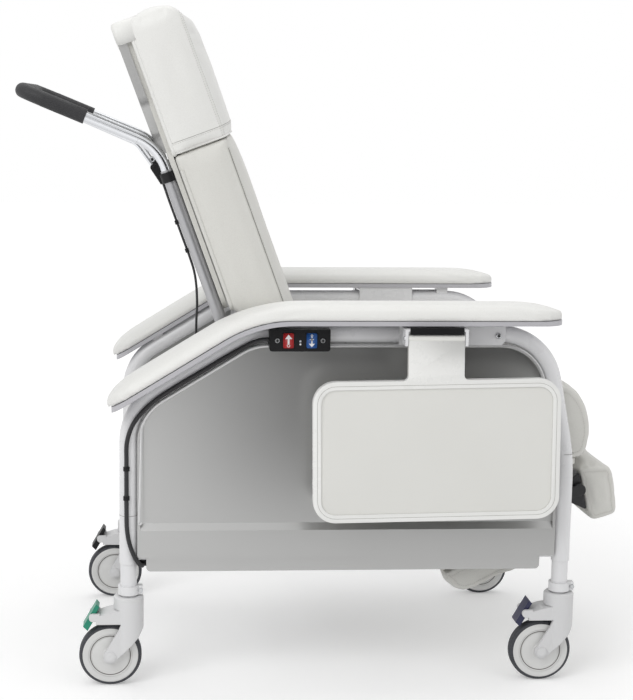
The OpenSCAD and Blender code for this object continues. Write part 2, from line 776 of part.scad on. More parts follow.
module at_leg(end, side) {
  translate([rear_x + end * wheelbase, side * half_spread, 0]) children();
}
module caster_fork(end, side) {
  color(frame_colour) at_leg(end, side) fork();
}
module caster_wheel(end, side) {
  color(tyre_colour) at_leg(end, side) wheel();
}
module caster_pedal(end, side, shade) {
  color(shade) at_leg(end, side) pedal();
}

// Cross rails between the side frames, with the strut's clevis and the leg lugs
cross_r = 15;
cross_z = seat_under - cross_r;
rail_h = 2 * cross_r;
seat_rail_out = rail_in;
seat_rail_in = seat_rail_out - 25;
lug_in = 239;
lug_r = 13;
strut_half = 12;
module cross_rails() {
  color(frame_colour) {
    // Rear lower rail, between the rear uprights
    difference() {
      translate([rear_x, half_spread, rail_low + rail_tall / 2])
        rotate([90, 0, 0]) cylinder(h = frame_spread, r = cross_r);
      each_leg() cylinder(h = frame_top, r = tube_r);
      both_sides()
        translate([rear_x - tube_d, rail_in, 0]) cube([2 * tube_d, frame_spread, frame_top]);
    }
    // Middle lower rail, between the two lower side rails
    translate([rear_x + pivot_set, rail_in, rail_low + rail_tall / 2])
      rotate([90, 0, 0]) cylinder(h = 2 * rail_in, r = cross_r);
    // Front rail with the lugs of the leg rest
    difference() {
      union() {
        translate([rear_x + wheelbase, half_spread, cross_z])
          rotate([90, 0, 0]) cylinder(h = frame_spread, r = cross_r);
        both_sides() from_rear_leg() plate(lug_in, lug_in + link_t) {
          translate(calf_pivot) circle(r = lug_r);
          translate([calf_pivot[0] - lug_r, calf_pivot[1]])
            square([2 * lug_r, cross_z - calf_pivot[1]]);
        }
      }
      each_leg() cylinder(h = frame_top, r = tube_r);
      both_sides() translate([rear_x + wheelbase - tube_d, half_spread - tube_r + over, 0])
        cube([2 * tube_d, frame_spread, frame_top]);
      both_sides() from_rear_leg()
        pin_along_y(calf_pivot, lug_in - over, lug_in + link_t + over, leg_pin_r);
    }
    // Strut rail between the seat rails, with a clevis for the gas spring
    difference() {
      union() {
        translate([rear_x + strut_rail_x - rail_deep / 2, -seat_rail_in, seat_under - rail_deep - over])
          cube([rail_deep, 2 * seat_rail_in, rail_deep]);
        both_sides() from_rear_leg() plate(strut_half, strut_half + link_t) {
          translate(strut_base) circle(r = strut_eye_r - 1);
          polygon([
            strut_base + [-strut_eye_r + 2, 0], strut_base + [0, -strut_eye_r + 2],
            [strut_rail_x + rail_deep / 2, seat_under - rail_deep],
            [strut_rail_x - rail_deep / 2, seat_under - rail_deep]
          ]);
        }
      }
      from_rear_leg() pin_along_y(strut_base, -strut_half * 2, strut_half * 2, strut_pin_r);
    }
  }
}
leg_pin_r = 6;

// Seat rails with the hinge plates of the backrest
hinge_in = half_post + post_r + 5.5;
hinge_r = 21;
back_pin_r = 8;
module seat_frame() {
  color(frame_colour) difference() {
    both_sides() from_rear_leg() {
      translate([seat_rail_start, seat_rail_in, seat_under - rail_h])
        cube([wheelbase - seat_rail_start, seat_rail_out - seat_rail_in, rail_h]);
      plate(hinge_in, hinge_in + link_t) {
        translate(pivot) circle(r = hinge_r);
        polygon([
          [pivot_set - hinge_foot, seat_under], [pivot_set + hinge_foot, seat_under],
          [pivot_set + hinge_r, pivot_h], [pivot_set - hinge_r, pivot_h]
        ]);
      }
    }
    translate([rear_x + wheelbase, half_spread, cross_z])
      rotate([90, 0, 0]) cylinder(h = frame_spread, r = cross_r);
    from_rear_leg() pin_along_y(pivot, -half_spread, half_spread, back_pin_r);
  }
}
hinge_foot = 42;
seat_rail_start = pivot_set - 48;
module back_pins() {
  color(metal_colour) both_sides() from_rear_leg() {
    pin_along_y(pivot, half_post - post_r + 1, hinge_in + link_t + head_h, back_pin_r);
    pin_along_y(pivot, half_post + post_r + seat_gap, hinge_in, back_pin_r + 4);
    pin_along_y(pivot, hinge_in + link_t, hinge_in + link_t + head_h, back_pin_r + 5);
  }
}
calf_link_in = lug_in - 3 - link_t;
module leg_pins() {
  color(metal_colour) both_sides() from_rear_leg() {
    pin_along_y(calf_pivot, calf_link_in - 2, lug_in + link_t + head_h, leg_pin_r);
    pin_along_y(calf_pivot, calf_link_in + link_t + seat_gap, lug_in, leg_pin_r + 3);
    pin_along_y(calf_pivot, lug_in + link_t, lug_in + link_t + head_h, leg_pin_r + 3);
  }
}
board_corner = 30;
module board_shape(x_a, x_b, half, r) {
  translate([x_a + r, -half]) square([x_b - x_a - 2 * r, 2 * half]);
  translate([x_a, -half + r]) square([x_b - x_a, 2 * half - 2 * r]);
  for (x = [x_a + r, x_b - r], y = [-half + r, half - r])
    translate([x, y]) circle(r = r);
}
module seat_board() {
  color(wood_colour) translate([rear_x, 0, seat_under]) linear_extrude(ply_t)
    board_shape(seat_rear + 4, seat_front - 24, seat_w / 2 - 4, board_corner);
}
// Side outline of the seat cushion, from the rear bottom corner forward
seat_bottom = seat_under + ply_t + seat_gap;
seat_len = seat_front - seat_rear;
seat_rise = seat_top - seat_bottom;
seat_outline_shares = [
  [0.01, 0, 0], [0.3, 0, 0], [0.6, 0, 0], [0.94, 0, 0], [0.972, 0.03, 0.1], [0.99, 0.12, 0.3],
  [1, 0.32, 0.5], [0.996, 0.5, 0.5], [0.982, 0.68, 0.5], [0.958, 0.84, 0.5], [0.92, 0.955, 0.6],
  [0.87, 0.998, 0.8], [0.8, 0.985, 0.9], [0.7, 0.95, 1], [0.5, 0.9, 1], [0.3, 0.86, 1],
  [0.14, 0.825, 0.8], [0.05, 0.79, 0.5], [0.012, 0.73, 0.2], [0, 0.6, 0.1], [0, 0.2, 0]
];
function seat_fall(share) = (seat_top - seat_rear_top - seat_rise * 0.2) * (1 - share);
seat_outline = [
  for (s = seat_outline_shares)
    [seat_rear + s[0] * seat_len,
    seat_bottom + s[1] * (seat_rise - seat_fall(s[0]) * s[1]), s[2]]
];
module seat_cushion() {
  color(vinyl_colour)
    from_rear_leg() lofted_cushion(seat_outline, seat_w, seat_crown, edge_round);
}

// Backrest: posts, crossbars with the strut's lever, board, cushion and covers
lever_r = 120;
lever_angle = -90 - 15 - recline / 2;
lever_t = 5;
lever_pin = pivot + lever_r * [cos(lever_angle), sin(lever_angle)];
lever_pin_end = pivot + lever_r * [cos(lever_angle + recline), sin(lever_angle + recline)];
strut_pin_r = 5;
strut_slack = lever_r * (1 - cos(recline / 2)) / 2;
strut_eye_bore = strut_pin_r + strut_slack + 0.8;
strut_eye_r = strut_eye_bore + 5;
strut_dir = unit(lever_pin_end - lever_pin);
strut_side = left_of(strut_dir);
strut_start = lever_pin - strut_side * strut_slack;
strut_len = 352;
strut_base = strut_start + strut_dir * strut_len;
strut_rail_x = strut_base[0] + 28;
module back_posts() {
  color(metal_colour)
    for (side = [-1, 1])
      difference() {
        in_back() translate([0, side * half_post, 0]) {
          cylinder(h = post_len, r = post_r);
          rotate([90, 0, 0]) cylinder(h = 2 * post_r - 2, r = post_r + 2, center = true);
          rotate([0, 180, 0]) cylinder(h = post_r, r = post_r - 0.5);
        }
        in_back() translate([0, side * half_post, post_len - sleeve_depth])
          cylinder(h = sleeve_depth + over, r = push_r);
        from_rear_leg() pin_along_y(pivot, -half_spread, half_spread, back_pin_r + run_gap);
      }
}
sleeve_depth = 60;
bar_r = 10;
bar_places = [130, 430];
module back_crossbars() {
  color(metal_colour) {
    difference() {
      in_back()
        for (v = bar_places)
          translate([0, half_post, v]) rotate([90, 0, 0]) cylinder(h = post_spread, r = bar_r);
      in_back()
        for (side = [-1, 1])
          translate([0, side * half_post, 0]) cylinder(h = post_len, r = post_r);
    }
    difference() {
      union() {
        in_back()
          translate([0, half_post, 0]) rotate([90, 0, 0]) cylinder(h = post_spread, r = bar_r);
        both_sides() from_rear_leg() plate(strut_half, strut_half + lever_t) {
          translate(pivot) circle(r = bar_r + 7);
          translate(pivot) rotate(lever_angle)
            translate([0, -lever_half]) square([lever_r, 2 * lever_half]);
          translate(lever_pin) circle(r = lever_half);
        }
        from_rear_leg()
          pin_along_y(lever_pin, -strut_half - lever_t - 2, strut_half + lever_t + 2, strut_pin_r);
      }
      in_back()
        for (side = [-1, 1])
          translate([0, side * (half_post + post_r), 0])
            cube([3 * post_d, 4 * post_r + 4, 3 * post_d], center = true);
    }
  }
}
lever_half = 12;
back_board_low = 196;
back_board_inset = 13;
module back_board() {
  color(wood_colour) in_back() translate([post_r, 0, 0]) rotate([90, 0, 90])
    linear_extrude(ply_t - 2)
      rotate(90)
        board_shape(
          back_board_low, back_top - back_board_inset,
          back_w / 2 - back_board_inset, board_corner
        );
}
// Side outline of the back cushion: out of the board, along the back, swell share
back_base = post_r + ply_t - 2 + seat_gap;
seam_out = back_base + back_t;
hem_gap = 0.4;
back_outline_shares = [
  [0, 0.405, 0], [0.1, 0.375, 0], [0.24, 0.31, 0], [0.42, 0.215, 0], [0.6, 0.125, 0], [0.78, 0.045, 0],
  [0.9, 0.002, 0.1], [0.98, 0.01, 0.25], [1, 0.05, 0.5], [1, 0.12, 0.8], [1, 0.25, 1], [1, 0.4, 1],
  [1, 0.55, 1], [1, 0.7, 1], [1, 0.85, 1], [1, 1, 1, 1], [0.75, 1, 0], [0.5, 1, 0], [0.25, 1, 0],
  [0, 1, 0], [0, 0.85, 0], [0, 0.7, 0], [0, 0.55, 0]
];
back_low = -16;
back_outline = [
  for (s = back_outline_shares)
    [back_base + s[0] * back_t, back_low + s[1] * (hem_at - hem_gap - back_low), s[2], s[3]]
];
module back_cushion() {
  color(vinyl_colour)
    in_back() lofted_cushion(back_outline, back_w, back_crown, edge_round);
}
head_outline_shares = [
  [0, 0, 0], [0.33, 0, 0], [0.66, 0, 0], [1, 0, 1, 1], [1.005, 0.25, 1], [1, 0.5, 1], [0.995, 0.75, 0.9],
  [0.985, 0.86, 0.7], [0.94, 0.935, 0.5], [0.86, 0.98, 0.35], [0.74, 0.998, 0.2], [0.5, 1, 0.15],
  [0.25, 0.995, 0.1], [0.06, 0.975, 0], [0, 0.93, 0], [0, 0.7, 0], [0, 0.45, 0], [0, 0.2, 0]
];
head_outline = [
  for (s = head_outline_shares)
    [back_base + s[0] * (back_t + cover_proud), hem_at + s[1] * (back_top - hem_at), s[2], s[3]]
];
module head_cover() {
  color(cover_colour)
    in_back() lofted_cushion(head_outline, back_w + 2 * cover_proud - 3, back_crown, edge_round);
}
shell_low = 530;
shell_t = 18;
shell_drop = 6;
shell_foot_half = half_post - grip_r - 2;
shell_half = back_w / 2 - 8;
shell_corner_r = 45;
shell_waist_r = 60;
module head_shell() {
  color(panel_colour) in_back() intersection() {
    plate(-back_w / 2, back_w / 2) {
      polygon([
        [post_r, shell_low], [post_r, back_top - shell_drop - shell_t / 2],
        [post_r - shell_t, back_top - shell_drop - shell_t / 2], [post_r - shell_t + 2, shell_low]
      ]);
      translate([post_r - shell_t / 2, back_top - shell_drop - shell_t / 2])
        circle(r = shell_t / 2);
    }
    rotate([90, 0, 90]) translate([0, 0, -shell_t]) linear_extrude(2 * shell_t)
      polygon(rounded_path([
        [-shell_foot_half, shell_low - over], [shell_foot_half, shell_low - over],
        [shell_foot_half, knee_at + 20], [shell_half, knee_at + 90],
        [shell_half, back_top], [-shell_half, back_top],
        [-shell_half, knee_at + 90], [-shell_foot_half, knee_at + 20],
        [-shell_foot_half, shell_low]
      ], [0, 0, shell_waist_r, shell_waist_r, shell_corner_r, shell_corner_r,
        shell_waist_r, shell_waist_r, 0], bend_steps));
  }
}

// Push bar with its grip, and the release lever nested inside it
knee_r = 95;
push_corner_r = 45;
knee_point = back_at(knee_at, 0);
push_dir = [-cos(push_rise), sin(push_rise)];
push_end = knee_point + push_dir * push_reach;
module push_bar() {
  foot = back_at(post_len - sleeve_depth, 0);
  pts = [
    in_space(foot, -half_post), in_space(knee_point, -half_post), in_space(push_end, -half_post),
    in_space(push_end, half_post), in_space(knee_point, half_post), in_space(foot, half_post)
  ];
  color(metal_colour)
    bent_tube(pts, [0, knee_r, push_corner_r, push_corner_r, knee_r, 0], push_r, push_r - tube_wall);
}
module push_grip() {
  start = push_end - push_dir * grip_run;
  pts = [
    in_space(start, -half_post), in_space(push_end, -half_post),
    in_space(push_end, half_post), in_space(start, half_post)
  ];
  color(black_colour) bent_tube(pts, [0, push_corner_r, push_corner_r, 0], grip_r, push_r);
}
bail_pivot_out = -(post_r + 9.5);
bail_pivot_at = post_len + 13;
bail_pivot = back_at(bail_pivot_at, bail_pivot_out);
bail_r = bail_d / 2;
bail_pin_r = 3;
bail_boss_r = 6.5;
ear_t = 5;
bail_y = half_post - grip_r - bail_r - 3;
ear_in = bail_y + bail_r + 0.5;
clamp_w = 20;
clamp_r = post_r + 3.5;
module lever_bracket() {
  color(black_colour) both_sides() difference() {
    union() {
      in_back()
        translate([0, half_post, post_len - clamp_w - 4]) cylinder(h = clamp_w, r = clamp_r);
      in_back() plate(ear_in, ear_in + ear_t) {
        polygon([
          [-4, post_len - clamp_w - 4], [-4, post_len - 4],
          [bail_pivot_out + bail_boss_r, bail_pivot_at + 1],
          [bail_pivot_out - bail_boss_r, bail_pivot_at - 1],
          [-clamp_r - 4, post_len - clamp_w - 4]
        ]);
        translate([bail_pivot_out, bail_pivot_at]) circle(r = bail_boss_r);
      }
      in_back()
        pin_along_y([bail_pivot_out, bail_pivot_at],
          bail_y - bail_r - 1, ear_in + ear_t + 1, bail_pin_r);
    }
    in_back() {
      translate([0, half_post, 0]) cylinder(h = post_len + over, r = post_r);
      translate([post_r - seat_gap, 0, 0]) cube([clamp_r, frame_spread, post_len]);
    }
  }
}
bail_knee = bail_pivot + [-34, 46];
bail_knee_r = 40;
bail_corner_r = 22;
bail_end = push_end - push_dir * 58 - left_of(push_dir) * -8;
module release_lever() {
  pts = [
    in_space(bail_pivot + unit(bail_knee - bail_pivot) * (bail_boss_r - 1), -bail_y),
    in_space(bail_knee, -bail_y),
    in_space(bail_end, -bail_y), in_space(bail_end, bail_y), in_space(bail_knee, bail_y),
    in_space(bail_pivot + unit(bail_knee - bail_pivot) * (bail_boss_r - 1), bail_y)
  ];
  color(metal_colour) difference() {
    union() {
      bent_bar(pts, [0, bail_knee_r, bail_corner_r, bail_corner_r, bail_knee_r, 0], bail_r, 0);
      both_sides() from_rear_leg()
        pin_along_y(bail_pivot, bail_y - bail_r, bail_y + bail_r, bail_boss_r - 0.5);
    }
    both_sides() from_rear_leg()
      pin_along_y(bail_pivot, bail_y - bail_d, bail_y + bail_d, bail_pin_r + run_gap);
  }
}

// A cable swept along points chosen by hand, smoothed between them
cable_sides = 8;
function spline_point(a, b, c, d, t) =
  (2 * b + t * (c - a) + t * t * (2 * a - 5 * b + 4 * c - d) + t * t * t * (3 * b - a - 3 * c + d)) / 2;
function smooth_route(p, n) = concat(
  [for (i = [0 : len(p) - 2], k = [0 : n - 1])
    spline_point(p[max(i - 1, 0)], p[i], p[i + 1], p[min(i + 2, len(p) - 1)], k / n)],
  [p[len(p) - 1]]
);
function route_dir(p, i) = unit(p[min(i + 1, len(p) - 1)] - p[max(i - 1, 0)]);
function square_to(t, a) = unit(a - t * (a * t));
function carried(p, i, a) =
  let (b = square_to(route_dir(p, i), a))
  i == len(p) - 1 ? [b] : concat([b], carried(p, i + 1, b));
function cable_ring(p, i, r, a) =
  let (b = cross(route_dir(p, i), a))
  [for (k = [0 : cable_sides - 1])
    p[i] + r * (a * cos(360 * k / cable_sides) + b * sin(360 * k / cable_sides))];
module cable(route, r, steps) {
  p = smooth_route(route, steps);
  sides = carried(p, 0, cross([0, 1, 0], route_dir(p, 0)));
  rings = [for (i = [len(p) - 1 : -1 : 0]) cable_ring(p, i, r, sides[i])];
  skin(rings, p[len(p) - 1], p[0]);
}
// Release cable route, in the backrest's frame: out, across, along
lever_turn = lever_angle - back_lean;
cable_lever = [cos(lever_turn), sin(lever_turn)] * (lever_r - 26);
cable_out = -15.5;
cable_side = -half_post + 6;
ear_foot = post_len - clamp_w - 4;
bowden_route = [
  [-15, -ear_in - ear_t / 2, ear_foot], [-15, -ear_in - ear_t / 2, ear_foot - 12],
  [cable_out, cable_side, 435], [cable_out, cable_side, 400], [cable_out, cable_side, 360],
  [cable_out, cable_side, 320], [-17, -227, 290], [-23, -226, 260], [-34, -222, 225],
  [-50, -214, 185], [-66, -200, 140], [-78, -180, 95], [-84, -150, 50], [-85, -115, 10],
  [-84, -80, -22], [cable_lever[0], -50, cable_lever[1]],
  [cable_lever[0], -strut_half - lever_t, cable_lever[1]]
];
module release_cable() {
  color(black_colour) in_back() cable(bowden_route, bowden_d / 2, 3);
}
module cable_clips() {
  color(black_colour) in_back()
    for (v = [330, 390])
      difference() {
        translate([cable_out, cable_side, v])
          cylinder(h = gland[1], r = bowden_d / 2 + clip_wall);
        translate([cable_out, cable_side, v - over])
          cylinder(h = gland[1] + 2 * over, r = bowden_d / 2 + clip_gap);
        translate([0, -half_post, v - over]) cylinder(h = gland[1] + 2 * over, r = post_r);
      }
}

// Leg rest: calf arms with tabs, board and pad, parallel foot links and foot pad
calf_bar = 11;
calf_far = 272;
calf_off = 48;
tab_t = 5;
tab_w = 44;
calf_tabs = [88, 214];
module calf_plate(y_from, y_to) {
  from_rear_leg() plate(y_from, y_to) translate(calf_pivot) rotate(180 + calf_stow)
    children();
}
module calf_arms() {
  color(frame_colour) both_sides() difference() {
    union() {
      calf_plate(calf_link_in, calf_link_in + link_t) {
        translate([0, -calf_bar]) square([calf_far - calf_bar, 2 * calf_bar]);
        circle(r = lug_r - 1);
        translate([calf_far - calf_bar, 0]) circle(r = calf_bar);
        for (s = calf_tabs)
          translate([s, 0]) square([tab_w, calf_off]);
      }
      calf_plate(calf_link_in - tab_in, calf_link_in + over)
        for (s = calf_tabs)
          translate([s, calf_off - tab_t]) square([tab_w, tab_t]);
      from_rear_leg()
        pin_along_y(calf_at(foot_link_at, 0), calf_link_in, foot_link_in + link_t + 2, leg_pin_r - 1);
    }
    from_rear_leg()
      pin_along_y(calf_pivot, calf_link_in - over, calf_link_in + link_t + over, leg_pin_r + run_gap);
  }
}
tab_in = 40;
foot_link_in = calf_link_in + link_t + 3;
calf_half = calf_w / 2;
board_lip = 8;
module calf_board() {
  color(wood_colour) calf_plate(-calf_half + board_lip, calf_half - board_lip)
    translate([calf_pad_from + board_lip, calf_off])
      square([calf_pad_len - 2 * board_lip, ply_t]);
}
calf_pad_t = 86;
calf_pad_from = 62;
calf_pad_len = 238;
calf_outline_shares = [
  [0, 0, 0], [-0.005, 0.3, 0.2], [0.03, 0.62, 0.5], [0.1, 0.88, 0.8], [0.25, 0.99, 1], [0.41, 1, 1],
  [0.53, 0.93, 0.8], [0.65, 0.93, 0.8], [0.77, 0.93, 1], [0.88, 0.84, 0.8], [0.95, 0.64, 0.5],
  [0.985, 0.34, 0.2], [0.99, 0.08, 0], [0.96, 0, 0], [0.65, 0, 0], [0.35, 0, 0]
];
calf_crown = 6;
calf_outline = [
  for (s = calf_outline_shares)
    let (p = calf_at(calf_pad_from + s[0] * calf_pad_len,
      calf_off + ply_t + seat_gap + s[1] * (calf_pad_t - ply_t)))
    [p[0], p[1], s[2]]
];
module calf_pad() {
  color(vinyl_colour) from_rear_leg() lofted_cushion(
    [for (i = [len(calf_outline) - 1 : -1 : 0]) calf_outline[i]],
    calf_w, calf_crown, edge_round
  );
}
module foot_links() {
  p = calf_at(foot_link_at, 0);
  d = foot_pivot - p;
  color(black_colour) both_sides() difference() {
    from_rear_leg() {
      plate(foot_link_in, foot_link_in + link_t) {
        translate(p) rotate(atan2(d[1], d[0]))
          translate([0, -calf_bar]) square([norm(d), 2 * calf_bar]);
        translate(p) circle(r = calf_bar + 2);
        translate(foot_pivot) circle(r = calf_bar + 2);
      }
      pin_along_y(foot_pivot, calf_link_in - 1, foot_link_in + link_t, leg_pin_r - 1);
    }
    from_rear_leg()
      pin_along_y(p, foot_link_in - over, foot_link_in + link_t + over, leg_pin_r - 1 + run_gap);
  }
}
cheek_back = 30;
cheek_up = 33;
cheek_slope = 14;
bracket_down = 44;
module foot_bracket() {
  color(black_colour) difference() {
    from_rear_leg() {
      both_sides() plate(calf_link_in + 0.5, calf_link_in + link_t + 0.5) polygon([
        foot_at(foot_back, -cheek_up), foot_at(-cheek_back, cheek_slope - cheek_up),
        foot_at(-cheek_back, cheek_slope + bracket_t), foot_at(foot_back - bracket_t, bracket_down),
        foot_at(foot_back, bracket_down)
      ]);
      plate(-calf_link_in - over, calf_link_in + over) polygon([
        foot_at(foot_back - bracket_t, -cheek_up), foot_at(foot_back, -cheek_up),
        foot_at(foot_back, bracket_down), foot_at(foot_back - bracket_t, bracket_down)
      ]);
    }
    both_sides() from_rear_leg() pin_along_y(
      foot_pivot, calf_link_in - 2 * over, calf_link_in + 2 * link_t, leg_pin_r - 1 + run_gap
    );
  }
}
bracket_t = 4;
foot_outline_shares = [
  [0.01, 0.08, 0], [0.05, 0.015, 0.1], [0.3, 0.02, 0.3], [0.6, 0.055, 0.5], [0.85, 0.09, 0.6],
  [0.955, 0.13, 0.8], [1, 0.24, 1], [0.98, 0.45, 1], [0.95, 0.68, 1], [0.915, 0.87, 0.8],
  [0.86, 0.955, 0.5], [0.7, 0.985, 0.3], [0.45, 1, 0.3], [0.18, 1, 0.1], [0.09, 0.95, 0],
  [0.02, 0.82, 0], [0, 0.6, 0], [0, 0.3, 0]
];
foot_crown = 5;
foot_outline = [
  for (s = foot_outline_shares)
    let (p = foot_at(foot_back + seat_gap + s[0] * (foot_t - foot_crown), -foot_rise + s[1] * foot_h))
    [p[0], p[1], s[2]]
];
module foot_pad() {
  color(vinyl_colour) from_rear_leg() lofted_cushion(
    [for (i = [len(foot_outline) - 1 : -1 : 0]) foot_outline[i]],
    calf_w, foot_crown, edge_round * 0.7
  );
}

// Trays on hinges under the arms
tray_pin_r = 4;
knuckle_r = 8;
hinge_out = half_arm + arm_w / 2 + 3;
hinge_z = arm_under - 23;
strap_t = 14;
strap_set = 287;
strap_mid_x = wheelbase - strap_set;
tray_mid_x = strap_mid_x + 3;
tray_top = hinge_z - strap_l;
bracket_wall = 4.5;
ear_w = 6;
ear_gap = 1;
plate_run = 90;
plate_chamfer = 8;
screw_in = 15;
module tray_bracket(side) {
  x_a = strap_mid_x - strap_w / 2 - ear_gap - ear_w;
  x_b = strap_mid_x + strap_w / 2 + ear_gap + ear_w;
  inner = half_spread - tube_r - bracket_wall;
  color(frame_colour) on_side(side) difference() {
    from_rear_leg() {
      // Saddle over the frame tube, under the arm board
      translate([x_a, inner, frame_top]) cube([x_b - x_a, hinge_out + knuckle_r - inner, bracket_wall]);
      translate([x_a, inner, frame_top - tube_d]) cube([x_b - x_a, bracket_wall, tube_d + bracket_wall]);
      translate([x_a, half_spread + tube_r, frame_top - tube_d])
        cube([x_b - x_a, bracket_wall, tube_d + bracket_wall]);
      translate([x_a, inner, frame_top]) cube([x_b - x_a, bracket_wall * 2, arm_under - frame_top]);
      for (x = [x_a, x_b - ear_w])
        translate([x, hinge_out - 28, hinge_z - 14])
          cube([ear_w, 28 + knuckle_r, frame_top - hinge_z + 14]);
      translate([x_a, hinge_out, hinge_z])
        rotate([0, 90, 0]) cylinder(h = x_b - x_a, r = tray_pin_r);
      // Plate along the tube's outer side, with its fixing screw
      plate(half_spread + tube_r, half_spread + tube_r + bracket_wall) polygon([
        [x_b - ear_w, frame_top], [x_b - ear_w, frame_top - tube_d - over],
        [x_b + plate_run - plate_chamfer, frame_top - tube_d - over],
        [x_b + plate_run, frame_top - tube_d + plate_chamfer], [x_b + plate_run, frame_top]
      ]);
      pin_along_y(
        [x_b + plate_run - screw_in, run_z],
        half_spread + tube_r + over, half_spread + tube_r + bracket_wall + head_h, head_r + over
      );
    }
    from_rear_leg() translate([0, half_spread, 0]) translate([x_a - over, 0, run_z])
      rotate([0, 90, 0]) cylinder(h = x_b - x_a + 2 * over, r = tube_r);
  }
}
module hung() {
  translate([rear_x + strap_mid_x, 0, hinge_z]) rotate([0, -hang_tilt, 0])
    translate([-strap_mid_x, 0, -hinge_z]) children();
}
module tray_plan() {
  translate([tray_mid_x, tray_top - tray_w / 2]) rotate([0, 0, 90])
    board_shape(-tray_w / 2, tray_w / 2, tray_l / 2, tray_corner);
}
module tray_field() {
  translate([tray_mid_x, tray_top - tray_w / 2]) rotate([0, 0, 90])
    board_shape(
      -tray_w / 2 + tray_rim, tray_w / 2 - tray_rim, tray_l / 2 - tray_rim, tray_corner - tray_rim
    );
}
fillet_r = 10;
module strap_fillet(x, k) {
  difference() {
    translate([k > 0 ? x : x - fillet_r, tray_top - over]) square([fillet_r, fillet_r + over]);
    translate([x + k * fillet_r, tray_top + fillet_r]) circle(r = fillet_r);
  }
}
module tray(side) {
  outer = hinge_out + strap_t / 2;
  color(cover_colour) on_side(side) difference() {
    union() {
      hung() {
        plate(outer - tray_t, outer)
          tray_plan();
        plate(outer - strap_t, outer) {
          translate([strap_mid_x - strap_w / 2, tray_top - tray_rim])
            square([strap_w, strap_l + tray_rim]);
          strap_fillet(strap_mid_x - strap_w / 2, -1);
          strap_fillet(strap_mid_x + strap_w / 2, 1);
        }
      }
      from_rear_leg() translate([strap_mid_x - strap_w / 2, hinge_out, hinge_z])
        rotate([0, 90, 0]) cylinder(h = strap_w, r = knuckle_r);
    }
    hung() plate(outer - tray_sink, outer + over) tray_field();
    from_rear_leg() translate([strap_mid_x - strap_w, hinge_out, hinge_z])
      rotate([0, 90, 0]) cylinder(h = 2 * strap_w, r = tray_pin_r + run_gap);
  }
}

// Control box under the right arm, its buttons and cable
box_mid_x = 337;
box_z = frame_top - 25;
box_in = half_spread + tube_r - 6;
box_out = half_spread + tube_r + box_deep;
box_screw_x = [box_mid_x - box_l / 2 + 15, box_mid_x + box_l / 2 - 15];
screw_len = 8;
button_w = 21;
button_h = 30;
button_x = [box_mid_x - 23, box_mid_x + 23];
button_deep = 12;
button_proud = 2;
button_gap = 0.25;
box_round = 5;
module box_outline() {
  translate([box_mid_x - box_l / 2, box_z - box_h / 2 + box_round])
    square([box_l, box_h - box_round]);
  translate([box_mid_x - box_l / 2 + box_round, box_z - box_h / 2])
    square([box_l - 2 * box_round, box_round * 2]);
  for (k = [-1, 1])
    translate([box_mid_x + k * (box_l / 2 - box_round), box_z - box_h / 2 + box_round])
      circle(r = box_round);
}
module control_housing() {
  color(black_colour) from_rear_leg() difference() {
    plate(-box_out, -box_in) box_outline();
    for (x = button_x)
      translate([x - button_w / 2 - button_gap, -box_out - over, box_z - button_h / 2 - button_gap])
        cube([button_w + 2 * button_gap, button_deep + over, button_h + 2 * button_gap]);
    for (x = box_screw_x)
      pin_along_y([x, box_z], -box_out - over, -box_out + screw_len, screw_r);
    translate([0, -half_spread, run_z])
      rotate([0, 90, 0]) cylinder(h = wheelbase, r = tube_r);
    translate([0, -panel_out - seat_gap, 0])
      cube([wheelbase, panel_out, run_z - panel_off + seat_gap]);
  }
}
button_travel = 2;
module button(x, shade) {
  color(shade)
    translate([rear_x + x - button_w / 2, -box_out - button_proud, box_z - button_h / 2])
      cube([button_w, button_proud + button_deep - button_travel - 0.5, button_h]);
}
// Control cable route: distance from the rear leg axis, place across, height
lead_y = -(half_spread + tube_r + lead_d / 2 + 0.3);
lead_end = -(half_spread - 4);
lead_route = [
  [box_mid_x - box_l / 2, lead_y - 8, 716], [262, lead_y - 6, 715], [240, lead_y, 706],
  [200, lead_y, 684], [150, lead_y, 654], [100, lead_y, 624], [60, lead_y, 598], [30, lead_y, 572],
  [8, lead_y, 542], [-3, lead_y, 508], [-4, lead_y, 470], [-4, lead_y, 420], [-4, lead_y, 370],
  [-3, lead_y, 330], [2, lead_y, 300], [11, lead_y, 275], [21, lead_y + 3, 258],
  [27, lead_y + 13, 251], [28, lead_end - 4, 250], [28, lead_end, 250]
];
gland = [16, 8, 12];
clip_z = [450, 390];
clip_wall = 2;
clip_gap = 0.3;
module lead_clips() {
  color(black_colour) from_rear_leg() {
    translate([28 - gland[0] / 2, lead_end + seat_gap, rail_low - gland[2] - 4])
      cube([gland[0], gland[1], gland[2] + 4]);
    for (z = clip_z)
      difference() {
        translate([-4, lead_y, z]) cylinder(h = gland[1], r = lead_d / 2 + clip_wall);
        translate([-4, lead_y, z - over])
          cylinder(h = gland[1] + 2 * over, r = lead_d / 2 + clip_gap);
        translate([0, -half_spread, z - over]) cylinder(h = gland[1] + 2 * over, r = tube_r);
      }
  }
}
module control_cable() {
  color(black_colour) from_rear_leg() cable(lead_route, lead_d / 2, 2);
}

